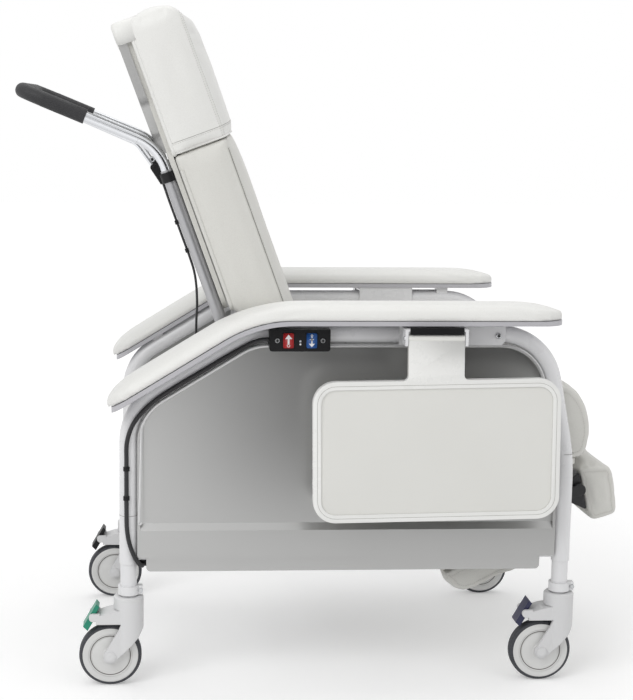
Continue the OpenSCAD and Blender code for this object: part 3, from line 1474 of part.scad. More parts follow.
// Gas spring between the back's lever and the strut rail
cyl_r = 11;
cyl_len = 205;
rod_r = 5;
base_eye_r = 10;
rod_eye_w = 9;
stroke = norm(lever_pin_end - lever_pin);
module along_strut(s) {
  p = strut_start + strut_dir * s;
  translate([rear_x + p[0], 0, p[1]])
    rotate([0, 90 - atan2(strut_dir[1], strut_dir[0]), 0]) children();
}
module gas_spring_cylinder() {
  color(black_colour) difference() {
    union() {
      along_strut(strut_len - cyl_len) cylinder(h = cyl_len - base_eye_r, r = cyl_r);
      from_rear_leg() pin_along_y(strut_base, -strut_half + 1, strut_half - 1, base_eye_r + 1);
    }
    along_strut(strut_len - cyl_len - over)
      cylinder(h = cyl_len - 2 * base_eye_r - 8 + over, r = rod_r + run_gap);
    from_rear_leg() pin_along_y(strut_base, -strut_half, strut_half, strut_pin_r);
  }
  color(metal_colour)
    from_rear_leg() pin_along_y(strut_base, -strut_half - link_t - 2, strut_half + link_t + 2, strut_pin_r);
}
module gas_spring_rod() {
  color(metal_colour) difference() {
    union() {
      along_strut(strut_eye_r - 3)
        cylinder(h = strut_len - cyl_len + 45 - strut_eye_r, r = rod_r);
      from_rear_leg() pin_along_y(strut_start, -rod_eye_w, rod_eye_w, strut_eye_r);
    }
    from_rear_leg() pin_along_y(strut_start, -rod_eye_w * 2, rod_eye_w * 2, strut_eye_bore);
  }
}

side_frame(-1);  // right_side_frame
side_frame(1);  // left_side_frame
side_panel(-1);  // right_side_panel
side_panel(1);  // left_side_panel
arm_board(-1);  // right_arm_board
arm_board(1);  // left_arm_board
arm_pad(-1);  // right_arm_pad
arm_pad(1);  // left_arm_pad
leg_tubes();
leg_collars();
screws();
caster_stems();
cross_rails();
seat_frame();
seat_board();
seat_cushion();
back_pins();
leg_pins();
tray_bracket(-1);  // right_tray_bracket
tray_bracket(1);  // left_tray_bracket
control_housing();
button(button_x[0], [0.78, 0.12, 0.14]);  // red_button
button(button_x[1], [0.10, 0.28, 0.62]);  // blue_button
control_cable();
lead_clips();
back_posts();
back_crossbars();
back_board();
back_cushion();
head_cover();
head_shell();
push_bar();
push_grip();
lever_bracket();
release_lever();
release_cable();
cable_clips();
calf_arms();
calf_board();
calf_pad();
foot_links();
foot_bracket();
foot_pad();
tray(-1);  // right_tray
tray(1);  // left_tray
gas_spring_cylinder();
gas_spring_rod();
caster_fork(0, -1);  // right_rear_fork
caster_wheel(0, -1);  // right_rear_wheel
caster_pedal(0, -1, [0.05, 0.55, 0.42]);  // right_rear_pedal
caster_fork(0, 1);  // left_rear_fork
caster_wheel(0, 1);  // left_rear_wheel
caster_pedal(0, 1, black_colour);  // left_rear_pedal
caster_fork(1, -1);  // right_front_fork
caster_wheel(1, -1);  // right_front_wheel
caster_pedal(1, -1, [0.10, 0.12, 0.25]);  // right_front_pedal
caster_fork(1, 1);  // left_front_fork
caster_wheel(1, 1);  // left_front_wheel
caster_pedal(1, 1, black_colour);  // left_front_pedal
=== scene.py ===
import json
import math

import bmesh
import bpy
from mathutils import Matrix, Vector, noise
from mathutils.bvhtree import BVHTree
from mathutils.kdtree import KDTree


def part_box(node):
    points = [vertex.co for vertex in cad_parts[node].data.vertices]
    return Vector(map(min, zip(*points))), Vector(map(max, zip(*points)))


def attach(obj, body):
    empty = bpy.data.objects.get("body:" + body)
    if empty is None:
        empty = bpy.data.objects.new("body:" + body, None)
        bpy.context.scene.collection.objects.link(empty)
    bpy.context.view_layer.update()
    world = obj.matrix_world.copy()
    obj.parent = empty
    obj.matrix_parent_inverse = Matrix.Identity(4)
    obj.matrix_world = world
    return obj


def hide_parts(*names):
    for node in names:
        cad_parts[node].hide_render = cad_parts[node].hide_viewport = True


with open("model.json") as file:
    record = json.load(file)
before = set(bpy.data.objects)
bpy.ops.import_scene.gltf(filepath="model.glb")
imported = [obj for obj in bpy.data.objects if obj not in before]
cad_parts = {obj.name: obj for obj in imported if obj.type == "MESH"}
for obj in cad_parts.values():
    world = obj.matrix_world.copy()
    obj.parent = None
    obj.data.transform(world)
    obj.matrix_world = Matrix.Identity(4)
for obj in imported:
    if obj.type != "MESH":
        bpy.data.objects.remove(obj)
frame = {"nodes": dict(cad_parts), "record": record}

nodes = frame["nodes"]
slotOf = {part["node"]: part["material_slot"] for part in frame["record"]["subparts"]}
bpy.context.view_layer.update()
rearLegX = -0.401232  # the rear leg axis; distances forward from it are called run below
wheelbase = 0.886
halfSpread = 0.2935  # from the middle to each side frame's axis
sides = (("right", -1), ("left", 1))


def placed(name, data):
    item = bpy.data.objects.new(name, data)
    bpy.context.scene.collection.objects.link(item)
    return item


# Camera, at the photograph's place and lens
cameraSet = {"place": (rearLegX + 0.0270, -3.4189, 1.1805), "lens": 81.86, "shift": 0.11,
             "yaw": 3.546, "pitch": 8.898, "roll": 0.570}


def addCamera(settings):
    yaw, pitch, roll = (math.radians(settings[k]) for k in ("yaw", "pitch", "roll"))
    ahead = Vector((math.sin(yaw) * math.cos(pitch), math.cos(yaw) * math.cos(pitch), -math.sin(pitch)))
    level = Vector((math.cos(yaw), -math.sin(yaw), 0))
    upright = level.cross(ahead)
    right = level * math.cos(roll) + upright * math.sin(roll)
    up = upright * math.cos(roll) - level * math.sin(roll)
    data = bpy.data.cameras.new("viewCamera")
    data.lens = settings["lens"]
    data.shift_x = settings["shift"]
    camera = placed("viewCamera", data)
    turn = Matrix((right, up, -ahead)).transposed().to_4x4()
    camera.matrix_world = Matrix.Translation(settings["place"]) @ turn
    bpy.context.scene.camera = camera


addCamera(cameraSet)
print("camera placed")


# Shader nodes
def link(tree, a, b):
    tree.links.new(a, b)


def setInputs(node, values):
    for label, value in values.items():
        node.inputs[label].default_value = value


def addNode(tree, kind, values={}):
    node = tree.nodes.new("ShaderNode" + kind)
    setInputs(node, values)
    return node


def objectPlace(tree):
    return addNode(tree, "TexCoord").outputs["Object"]


def lengthOf(tree, vector):
    step = addNode(tree, "VectorMath")
    step.operation = "LENGTH"
    link(tree, vector, step.inputs[0])
    return step.outputs["Value"]


def maths(tree, kind, a, b=None):
    step = addNode(tree, "Math")
    step.operation = kind
    for i, item in enumerate((a, b)):
        if isinstance(item, (int, float)):
            step.inputs[i].default_value = item
        elif item is not None:
            link(tree, item, step.inputs[i])
    return step.outputs[0]


def ranged(tree, value, ends):
    step = addNode(tree, "MapRange", ends)
    link(tree, value, step.inputs["Value"])
    return step.outputs["Result"]


def spread(tree, value, low, high):
    return ranged(tree, value, {"From Min": low, "From Max": high})


def anyOf(tree, sockets):
    # The largest of several yes or no outputs
    last = sockets[0]
    for socket in sockets[1:]:
        last = maths(tree, "MAXIMUM", last, socket)
    return last


def newFinish(name):
    finish = bpy.data.materials.new(name)
    finish.use_nodes = True
    tree = finish.node_tree
    return finish, tree, tree.nodes["Principled BSDF"]


# Stage: pale floor, white surroundings and soft lamps
stageSet = {"floorSize": 30.0, "floorColour": (0.86, 0.86, 0.86, 1), "liftNear": 0.25, "liftFar": 0.5,
            "nearEnd": 0.9, "farFrom": 3.2, "skyLight": 0.62, "skySeen": 1.0}
lampSet = [
    {"name": "keyLamp", "place": (-2.4, -3.0, 3.2), "aim": (0.0, 0.0, 0.6), "size": 2.6, "power": 70},
    {"name": "fillLamp", "place": (2.8, -3.2, 1.6), "aim": (0.1, 0.0, 0.5), "size": 2.4, "power": 15},
    {"name": "topLamp", "place": (0.2, 0.6, 3.6), "aim": (0.0, 0.0, 0.4), "size": 2.8, "power": 25},
]


def stagePiece(name, bm, finish):
    mesh = bpy.data.meshes.new(name)
    bm.to_mesh(mesh)
    bm.free()
    mesh.materials.append(finish)
    piece = placed(name, mesh)
    return piece


def addStage(s, lamps):
    paper, tree, shader = newFinish("floorPaper")
    setInputs(shader, {"Base Color": s["floorColour"], "Roughness": 0.85, "Specular IOR Level": 0.1,
                       "Emission Color": (1, 1, 1, 1)})
    path = addNode(tree, "LightPath")
    lift = ranged(tree, lengthOf(tree, objectPlace(tree)), {
        "From Min": s["nearEnd"], "From Max": s["farFrom"], "To Min": s["liftNear"], "To Max": s["liftFar"]})
    seen = anyOf(tree, [path.outputs["Is Camera Ray"], path.outputs["Is Glossy Ray"]])
    link(tree, maths(tree, "MULTIPLY", lift, seen), shader.inputs["Emission Strength"])
    bm = bmesh.new()
    bmesh.ops.create_grid(bm, x_segments=1, y_segments=1, size=s["floorSize"] / 2)
    stagePiece("floor", bm, paper)

    world = bpy.data.worlds.new("whiteRoom")
    world.use_nodes = True
    bpy.context.scene.world = world
    tree = world.node_tree
    air = tree.nodes["Background"]
    air.inputs["Color"].default_value = (1, 1, 1, 1)
    path = addNode(tree, "LightPath")
    seen = anyOf(tree, [path.outputs[k] for k in ("Is Camera Ray", "Is Glossy Ray", "Is Transmission Ray")])
    link(tree, ranged(tree, seen, {"To Min": s["skyLight"], "To Max": s["skySeen"]}), air.inputs["Strength"])

    for item in lamps:
        data = bpy.data.lights.new(item["name"], "AREA")
        data.size = item["size"]
        data.energy = item["power"]
        place = Vector(item["place"])
        aim = (Vector(item["aim"]) - place).to_track_quat("-Z", "Y")
        placed(item["name"], data).matrix_world = Matrix.Translation(place) @ aim.to_matrix().to_4x4()
    bpy.context.scene.view_settings.view_transform = "Standard"


addStage(stageSet, lampSet)

# A dark studio flag beside the camera, seen only in glossy surfaces
flagSet = {"y": -2.6, "foot": -1.85, "left": -0.15, "right": 2.9, "top": 2.2, "shade": 0.01}


def addFlag(s):
    cloth, _, shader = newFinish("flagCloth")
    setInputs(shader, {"Base Color": (s["shade"], s["shade"], s["shade"], 1), "Roughness": 1.0})
    bm = bmesh.new()
    rows = [[bm.verts.new((x, y, z)) for x in (s["left"], s["right"])]
            for y, z in ((s["foot"], 0.003), (s["y"], 0.003), (s["y"], s["top"]))]
    for a, b in zip(rows, rows[1:]):
        bm.faces.new((a[0], a[1], b[1], b[0]))
    flag = stagePiece("flag", bm, cloth)
    for ray in ("camera", "diffuse", "transmission", "volume_scatter", "shadow"):
        setattr(flag, "visible_" + ray, False)


addFlag(flagSet)
print("stage lit")


# Shared effects as node groups: they give only colours, masks, values and normals
def newGroup(name, inputs, outputs):
    tree = bpy.data.node_groups.new(name, "ShaderNodeTree")
    for label, kind, value in inputs:
        socket = tree.interface.new_socket(label, in_out="INPUT", socket_type="NodeSocket" + kind)
        socket.default_value = value
    for label, kind in outputs:
        tree.interface.new_socket(label, in_out="OUTPUT", socket_type="NodeSocket" + kind)
    return tree, tree.nodes.new("NodeGroupInput"), tree.nodes.new("NodeGroupOutput")


def noiseAt(tree, place, scale, detail=3.0, roughness=0.5):
    step = addNode(tree, "TexNoise", {"Detail": detail, "Roughness": roughness})
    link(tree, place, step.inputs["Vector"])
    if isinstance(scale, (int, float)):
        step.inputs["Scale"].default_value = scale
    else:
        link(tree, scale, step.inputs["Scale"])
    return step.outputs["Fac"]


def makeCloudGroup():
    # Slow drift in colour and gloss, with faint handling smears
    tree, given, result = newGroup(
        "cloudDrift", [("Scale", "Float", 3.0)], [("Drift", "Float"), ("Gloss", "Float")])
    place = objectPlace(tree)
    slow = noiseAt(tree, place, given.outputs["Scale"], 2.0)
    fine = noiseAt(tree, place, maths(tree, "MULTIPLY", given.outputs["Scale"], 9.0), 4.0, 0.65)
    drift, smear = spread(tree, slow, 0.3, 0.7), spread(tree, fine, 0.42, 0.68)
    link(tree, drift, result.inputs["Drift"])
    link(tree, maths(tree, "ADD", maths(tree, "MULTIPLY", drift, 0.5), maths(tree, "MULTIPLY", smear, 0.5)),
         result.inputs["Gloss"])
    return tree


def makeWearGroup():
    # Rounded edges, and a broken mask along them for rubbed corners
    tree, given, result = newGroup(
        "edgeWear", [("Reach", "Float", 0.001), ("Break", "Float", 60.0)],
        [("Mask", "Float"), ("Normal", "Vector")])
    place = objectPlace(tree)
    rounded = addNode(tree, "Bevel")
    rounded.samples = 4
    link(tree, given.outputs["Reach"], rounded.inputs["Radius"])
    facing = addNode(tree, "NewGeometry")
    close = addNode(tree, "VectorMath")
    close.operation = "DOT_PRODUCT"
    link(tree, rounded.outputs["Normal"], close.inputs[0])
    link(tree, facing.outputs["Normal"], close.inputs[1])
    edge = spread(tree, maths(tree, "SUBTRACT", 1.0, close.outputs["Value"]), 0.02, 0.25)
    patch = spread(tree, noiseAt(tree, place, given.outputs["Break"], 4.0, 0.7), 0.45, 0.62)
    link(tree, maths(tree, "MULTIPLY", edge, patch), result.inputs["Mask"])
    link(tree, rounded.outputs["Normal"], result.inputs["Normal"])
    return tree


def makeHideGroup():
    # The pebbled grain of coated upholstery cloth: small cells parted by creases, over a soft ripple, with a
    # mask of the creases for painted shade
    tree, given, result = newGroup(
        "hideGrain", [("Scale", "Float", 520.0)], [("Height", "Float"), ("CreaseShade", "Float")])
    place = objectPlace(tree)
    cells = addNode(tree, "TexVoronoi")
    cells.feature = "DISTANCE_TO_EDGE"
    link(tree, place, cells.inputs["Vector"])
    link(tree, given.outputs["Scale"], cells.inputs["Scale"])
    shadedCrease = spread(tree, cells.outputs["Distance"], 0.0, 0.22)
    ripple = noiseAt(tree, place, maths(tree, "MULTIPLY", given.outputs["Scale"], 0.12), 4.0, 0.6)
    link(tree, maths(tree, "ADD", maths(tree, "MULTIPLY", shadedCrease, 0.35), ripple), result.inputs["Height"])
    link(tree, maths(tree, "SUBTRACT", 1.0, shadedCrease), result.inputs["CreaseShade"])
    return tree


def makePeelGroup():
    # Fine orange peel of powder paint and the spark texture of moulded plastic
    tree, given, result = newGroup(
        "finePeel", [("Scale", "Float", 400.0)], [("Height", "Float")])
    place = objectPlace(tree)
    wide = noiseAt(tree, place, given.outputs["Scale"], 2.0, 0.5)
    close = noiseAt(tree, place, maths(tree, "MULTIPLY", given.outputs["Scale"], 4.5), 2.0, 0.6)
    link(tree, maths(tree, "ADD", wide, maths(tree, "MULTIPLY", close, 0.4)), result.inputs["Height"])
    return tree


cloudGroup, wearGroup = makeCloudGroup(), makeWearGroup()
hideGroup, peelGroup = makeHideGroup(), makePeelGroup()


def useGroup(tree, group, **values):
    step = addNode(tree, "Group")
    step.node_tree = group
    setInputs(step, values)
    return step


def blendColours(tree, amount, a, b):
    step = addNode(tree, "Mix")
    step.data_type = "RGBA"
    for item, i in ((a, 6), (b, 7)):
        if isinstance(item, (tuple, list)):
            step.inputs[i].default_value = (*item, 1)
        else:
            link(tree, item, step.inputs[i])
    link(tree, amount, step.inputs[0])
    return step.outputs[2]


def raised(tree, height, distance, strength, under=None):
    step = addNode(tree, "Bump", {"Distance": distance, "Strength": strength})
    link(tree, height, step.inputs["Height"])
    if under is not None:
        link(tree, under, step.inputs["Normal"])
    return step.outputs["Normal"]


def glossFrom(tree, shader, value, low, high):
    link(tree, ranged(tree, value, {"To Min": low, "To Max": high}), shader.inputs["Roughness"])


def hardFinish(name, s):
    # Paint and moulded plastic: drifted colour, rubbed round edges where edge isn't 0, peel or spark bump
    finish, tree, shader = newFinish(name)
    cloud = useGroup(tree, cloudGroup, Scale=s.get("drift", 3.0))
    peel = useGroup(tree, peelGroup, Scale=s.get("peel", 420.0))
    tone = blendColours(tree, cloud.outputs["Drift"], s["colour"], s["shade"])
    rounded = None
    if s.get("edge", 0.0012) > 0:
        wear = useGroup(tree, wearGroup, Reach=s.get("edge", 0.0012))
        tone = blendColours(tree, wear.outputs["Mask"], tone, s.get("rubbed", s["shade"]))
        rounded = wear.outputs["Normal"]
    link(tree, tone, shader.inputs["Base Color"])
    glossFrom(tree, shader, cloud.outputs["Gloss"], *s["rough"])
    setInputs(shader, {"Specular IOR Level": s.get("specular", 0.5), "Metallic": s.get("metal", 0.0),
                       "Coat Weight": s.get("coat", 0.0), "Coat Roughness": 0.2})
    link(tree, raised(tree, peel.outputs["Height"], s.get("deep", 0.00008), s.get("bump", 0.35), rounded),
         shader.inputs["Normal"])
    return finish


def metalFinish(name, s):
    # Plated or satin steel: fine lines along the drawing direction, dulled patches
    finish, tree, shader = newFinish(name)
    cloud = useGroup(tree, cloudGroup, Scale=6.0)
    wear = useGroup(tree, wearGroup, Reach=0.0006)
    place = objectPlace(tree)
    stretch = addNode(tree, "Mapping", {"Scale": s["stretch"]})
    link(tree, place, stretch.inputs["Vector"])
    lines = noiseAt(tree, stretch.outputs["Vector"], 900.0, 2.0)
    tone = blendColours(tree, cloud.outputs["Drift"], s["colour"], s["shade"])
    link(tree, tone, shader.inputs["Base Color"])
    shader.inputs["Metallic"].default_value = 1.0
    glossFrom(tree, shader, cloud.outputs["Gloss"], *s["rough"])
    link(tree, raised(tree, lines, 0.00003, 0.25, wear.outputs["Normal"]), shader.inputs["Normal"])
    return finish


def hideFinish(name, s):
    # Coated upholstery cloth: pebble grain with painted shade in its creases, soft sheen, and painted shade
    # along the sewn seams
    finish, tree, shader = newFinish(name)
    cloud = useGroup(tree, cloudGroup, Scale=3.5)
    hide = useGroup(tree, hideGroup)
    tone = blendColours(tree, cloud.outputs["Drift"], s["colour"], s["shade"])
    # Painted shade in the grain's creases
    tone = blendColours(tree, maths(tree, "MULTIPLY", hide.outputs["CreaseShade"], 0.30), tone, s["shadedCrease"])
    # Painted shade along the sewn seams' grooves, from the attribute that refine writes
    near = addNode(tree, "Attribute")
    near.attribute_name = "shadedSeam"
    tone = blendColours(tree, maths(tree, "MULTIPLY", near.outputs["Fac"], 0.35), tone, s["shadedCrease"])
    link(tree, tone, shader.inputs["Base Color"])
    glossFrom(tree, shader, cloud.outputs["Gloss"], *s["rough"])
    setInputs(shader, {"Sheen Weight": 0.12, "Sheen Roughness": 0.5, "Specular IOR Level": 0.42})
    link(tree, raised(tree, hide.outputs["Height"], 0.00035, 0.35), shader.inputs["Normal"])
    return finish


def rubberFinish(name, s):
    # Foam grip and cable jacket: matt, with a close pitted skin
    finish, tree, shader = newFinish(name)
    cloud = useGroup(tree, cloudGroup, Scale=8.0)
    peel = useGroup(tree, peelGroup, Scale=s["pits"])
    tone = blendColours(tree, cloud.outputs["Drift"], s["colour"], s["shade"])
    link(tree, tone, shader.inputs["Base Color"])
    glossFrom(tree, shader, cloud.outputs["Gloss"], *s["rough"])
    link(tree, raised(tree, peel.outputs["Height"], s["deep"], 0.6), shader.inputs["Normal"])
    return finish


def wheelFinish(name, s):
    # Nylon disc with a groove ring in painted shade and a rubber tread, told apart by distance from the axle
    finish, tree, shader = newFinish(name)
    place = objectPlace(tree)
    centred = addNode(tree, "Mapping", {"Location": (-s["axleX"], 0, -s["axleZ"]), "Scale": (1, 0, 1)})
    link(tree, place, centred.inputs["Vector"])
    distance = lengthOf(tree, centred.outputs["Vector"])
    cloud = useGroup(tree, cloudGroup, Scale=9.0)
    wear = useGroup(tree, wearGroup, Reach=0.0008)
    peel = useGroup(tree, peelGroup, Scale=900.0)
    tyre = spread(tree, distance, s["tyreFrom"], s["tyreFrom"] + 0.0002)
    gap = maths(tree, "ABSOLUTE", maths(tree, "SUBTRACT", distance, s["grooveAt"]))
    shadedGroove = maths(tree, "SUBTRACT", 1.0, spread(tree, gap, s["grooveHalf"] * 0.6, s["grooveHalf"] * 1.4))
    lip = maths(tree, "SUBTRACT", 1.0, spread(tree, maths(tree, "ABSOLUTE", maths(
        tree, "SUBTRACT", distance, s["lipAt"])), 0.0, 0.0012))
    scuff = spread(tree, noiseAt(tree, place, 160.0, 5.0, 0.7), 0.45, 0.75)
    disc = blendColours(tree, cloud.outputs["Drift"], s["disc"], s["discShade"])
    # Painted shade in the groove ring, which the flat disc has only as a bump
    disc = blendColours(tree, shadedGroove, disc, s["shadedGroove"])
    rubber = blendColours(tree, scuff, s["tyre"], s["tyreScuff"])
    link(tree, blendColours(tree, tyre, disc, rubber), shader.inputs["Base Color"])
    rough = maths(tree, "ADD", maths(tree, "MULTIPLY", tyre, 0.3), 0.38)
    link(tree, maths(tree, "ADD", rough, maths(tree, "MULTIPLY", cloud.outputs["Gloss"], 0.12)),
         shader.inputs["Roughness"])
    grain = raised(tree, peel.outputs["Height"], 0.00008, 0.4, wear.outputs["Normal"])
    step = raised(tree, maths(tree, "SUBTRACT", lip, maths(tree, "MULTIPLY", shadedGroove, 2.0)), 0.0008, 1.0, grain)
    link(tree, step, shader.inputs["Normal"])
    return finish


hardSet = {
    "frame_paint": {"colour": (0.78, 0.78, 0.79), "shade": (0.745, 0.745, 0.755), "rough": (0.24, 0.36),
                    "rubbed": (0.62, 0.62, 0.63), "edge": 0.0014, "coat": 0.25},
    "panel_plastic": {"colour": (0.47, 0.47, 0.465), "shade": (0.455, 0.455, 0.45), "rough": (0.29, 0.30),
                      "edge": 0, "deep": 0.00002, "bump": 0.1, "peel": 900.0, "drift": 1.2, "metal": 0.85},
    # A lighter copy of the panel finish for the recess's bead: painted highlight
    "panelRimHighlight": {"colour": (0.66, 0.66, 0.66), "shade": (0.63, 0.63, 0.63), "rough": (0.30, 0.34),
                 "edge": 0, "deep": 0.00002, "bump": 0.1, "peel": 900.0, "metal": 0.6},
    "armStrip": {"colour": (0.50, 0.495, 0.52), "shade": (0.47, 0.465, 0.49), "rough": (0.36, 0.46),
                 "rubbed": (0.6, 0.6, 0.6)},
    # Silver darker than the frame paint; part of that darkness is painted dark reflection
    "silver_paint": {"colour": (0.42, 0.42, 0.43), "shade": (0.38, 0.38, 0.39), "rough": (0.3, 0.4),
                     "edge": 0, "metal": 0.6},
    "black_plastic": {"colour": (0.006, 0.006, 0.007), "shade": (0.010, 0.010, 0.011), "rough": (0.38, 0.55),
                      "rubbed": (0.04, 0.04, 0.04), "peel": 1100.0, "specular": 0.25},
    "black_paint": {"colour": (0.014, 0.014, 0.016), "shade": (0.022, 0.022, 0.024), "rough": (0.35, 0.5),
                    "rubbed": (0.12, 0.12, 0.12)},
    "tray_plastic": {"colour": (0.745, 0.742, 0.71), "shade": (0.725, 0.722, 0.69), "rough": (0.34, 0.5),
                     "deep": 0.00015, "peel": 520.0, "drift": 5.0},
    # A lighter, glossier copy of the tray finish for its rim: painted highlight
    "trayRimHighlight": {"colour": (0.84, 0.84, 0.82), "shade": (0.82, 0.82, 0.80), "rough": (0.26, 0.36),
                "deep": 0.00006, "peel": 520.0, "drift": 5.0},
    "lens": {"colour": (0.55, 0.56, 0.6), "shade": (0.45, 0.46, 0.5), "rough": (0.08, 0.14),
             "edge": 0.0002, "coat": 0.5},
    # Near black for the flat crosses on screw heads: painted shade in their recesses
    "recessShade": {"colour": (0.02, 0.02, 0.022), "shade": (0.03, 0.03, 0.03), "rough": (0.5, 0.6),
                 "edge": 0.0002},
    "red_plastic": {"colour": (0.47, 0.02, 0.022), "shade": (0.40, 0.016, 0.018), "rough": (0.25, 0.38)},
    "blue_plastic": {"colour": (0.018, 0.10, 0.34), "shade": (0.014, 0.08, 0.29), "rough": (0.25, 0.38)},
    "caster_nylon": {"colour": (0.71, 0.71, 0.715), "shade": (0.67, 0.67, 0.675), "rough": (0.4, 0.55),
                     "edge": 0.002},
    "green_plastic": {"colour": (0.010, 0.25, 0.155), "shade": (0.008, 0.20, 0.125), "rough": (0.35, 0.5),
                      "edge": 0.0018},
    "navy_plastic": {"colour": (0.022, 0.026, 0.075), "shade": (0.018, 0.02, 0.06), "rough": (0.35, 0.5),
                     "edge": 0.0018},
    "signWhite": {"colour": (0.82, 0.82, 0.82), "shade": (0.78, 0.78, 0.78), "rough": (0.4, 0.5),
                  "edge": 0.0003},
}
metalSet = {
    "zinc": {"colour": (0.58, 0.59, 0.60), "shade": (0.50, 0.51, 0.52), "rough": (0.22, 0.36),
             "stretch": (1, 1, 1)},
    "satin_tube": {"colour": (0.66, 0.67, 0.69), "shade": (0.60, 0.61, 0.63), "rough": (0.16, 0.26),
                   "stretch": (0.08, 1, 1)},
}
hideSet = {
    # The third colour of each is painted shade, for the grain's creases and the sewn seams
    "vinyl": {"colour": (0.70, 0.695, 0.66), "shade": (0.67, 0.665, 0.63), "shadedCrease": (0.50, 0.49, 0.455),
              "rough": (0.42, 0.56)},
    "vinyl_light": {"colour": (0.80, 0.80, 0.78), "shade": (0.775, 0.775, 0.75), "shadedCrease": (0.62, 0.61, 0.58),
                    "rough": (0.36, 0.5)},
    "wrapped_board": {"colour": (0.66, 0.655, 0.62), "shade": (0.63, 0.625, 0.59), "shadedCrease": (0.47, 0.46, 0.43),
                      "rough": (0.45, 0.6)},
}
threadLook = {"rough": (0.6, 0.75), "pits": 2500.0, "deep": 0.0001}
rubberSet = {
    "grip_rubber": {"colour": (0.016, 0.016, 0.018), "shade": (0.024, 0.024, 0.026), "rough": (0.55, 0.75),
                    "pits": 500.0, "deep": 0.0003},
    "cable_rubber": {"colour": (0.012, 0.012, 0.014), "shade": (0.02, 0.02, 0.022), "rough": (0.42, 0.6),
                     "pits": 900.0, "deep": 0.0001},
    "thread": {"colour": (0.46, 0.45, 0.42), "shade": (0.42, 0.41, 0.38), **threadLook},
    "seamShadow": {"colour": (0.20, 0.195, 0.18), "shade": (0.16, 0.155, 0.14), **threadLook},
    # Grey cords of painted shade in the trays' grooves
    "grooveShade": {"colour": (0.40, 0.395, 0.37), "shade": (0.36, 0.355, 0.33), **threadLook},
}
wheelSet = {"rearWheel": {"axleX": rearLegX - 0.037}, "frontWheel": {"axleX": rearLegX + wheelbase - 0.037}}
wheelLook = {"axleZ": 0.0635, "tyreFrom": 0.0563, "grooveAt": 0.0408, "grooveHalf": 0.0007, "lipAt": 0.0445,
             "disc": (0.71, 0.71, 0.70), "discShade": (0.67, 0.67, 0.66), "shadedGroove": (0.10, 0.085, 0.075),
             "tyre": (0.045, 0.047, 0.055), "tyreScuff": (0.075, 0.077, 0.085)}
finishes = {}
for family, make in ((hardSet, hardFinish), (metalSet, metalFinish), (hideSet, hideFinish),
                     (rubberSet, rubberFinish)):
    for slotName, look in family.items():
        finishes[slotName] = make(slotName, look)
for wheelName, look in wheelSet.items():
    finishes[wheelName] = wheelFinish(wheelName, {**wheelLook, **look})
print("finishes made")


def dressNodes():
    # Every CAD node takes its slot's finish; the wheels and the arm boards' strips take their own
    for name, piece in nodes.items():
        finish = finishes.get(slotOf[name])
        if name.endswith("_wheel"):
            finish = finishes["rearWheel" if "rear" in name else "frontWheel"]
        if name.endswith("_arm_board"):
            finish = finishes["armStrip"]
        piece.data.materials.clear()
        piece.data.materials.append(finish)


dressNodes()
print("frame dressed")


# Making pieces
def asPiece(name, mesh, body, slotName, finish=None, smooth=True):
    piece = placed(name, mesh)
    mesh.materials.clear()
    mesh.materials.append(finishes[finish or slotName])
    if smooth:
        mesh.polygons.foreach_set("use_smooth", [True] * len(mesh.polygons))
    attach(piece, body)
    return piece


def meshFrom(name, bm):
    mesh = bpy.data.meshes.new(name)
    bm.to_mesh(mesh)
    bm.free()
    return mesh


def evaluatedMesh(piece, name):
    bpy.context.view_layer.update()
    seen = piece.evaluated_get(bpy.context.evaluated_depsgraph_get())
    mesh = bpy.data.meshes.new_from_object(seen)
    mesh.name = name
    return mesh


def roundBar(name, points, radius, body, slotName, finish=None, closed=False, sides=3):
    # A round cord, welt or cable along a line of points
    curve = bpy.data.curves.new(name, "CURVE")
    curve.dimensions = "3D"
    line = curve.splines.new("POLY")
    line.points.add(len(points) - 1)
    for spot, point in zip(line.points, points):
        spot.co = (*point, 1)
    line.use_cyclic_u = closed
    curve.bevel_depth = radius
    curve.bevel_resolution = sides
    curve.use_fill_caps = not closed
    holder = placed(name, curve)
    mesh = evaluatedMesh(holder, name)
    bpy.data.objects.remove(holder)
    bpy.data.curves.remove(curve)
    return asPiece(name, mesh, body, slotName, finish)


def evenly(points, step, closed=False):
    # The same line with points a fixed distance apart
    line = list(points) + ([points[0]] if closed else [])
    lengths = [0.0]
    for a, b in zip(line, line[1:]):
        lengths.append(lengths[-1] + (b - a).length)
    count = max(2, round(lengths[-1] / step))
    spots, k = [], 0
    for i in range(count + (0 if closed else 1)):
        want = lengths[-1] * i / count
        while k < len(lengths) - 2 and lengths[k + 1] < want:
            k += 1
        share = (want - lengths[k]) / max(lengths[k + 1] - lengths[k], 1e-9)
        spots.append(line[k].lerp(line[k + 1], min(max(share, 0), 1)))
    return spots


def smoothRoute(points, steps):
    # A smooth curve through given points
    route = []
    for i in range(len(points) - 1):
        a, b = points[max(i - 1, 0)], points[i]
        c, d = points[i + 1], points[min(i + 2, len(points) - 1)]
        for k in range(steps):
            t = k / steps
            route.append((2 * b + t * (c - a) + t * t * (2 * a - 5 * b + 4 * c - d)
                          + t * t * t * (3 * b - a - 3 * c + d)) / 2)
    return route + [points[-1]]


# Cables, along the routes of their solids
backLean = math.radians(20.3)
pivotRun, pivotZ = 0.248, 0.575


def onBack(out, across, along):
    c, s = math.cos(backLean), math.sin(backLean)
    return Vector((rearLegX + pivotRun + out * c - along * s, across, pivotZ + out * s + along * c))


outBack, upBack = onBack(1, 0, 0) - onBack(0, 0, 0), onBack(0, 0, 1) - onBack(0, 0, 0)


def onSide(run, across, height):
    return Vector((rearLegX + run, across, height))


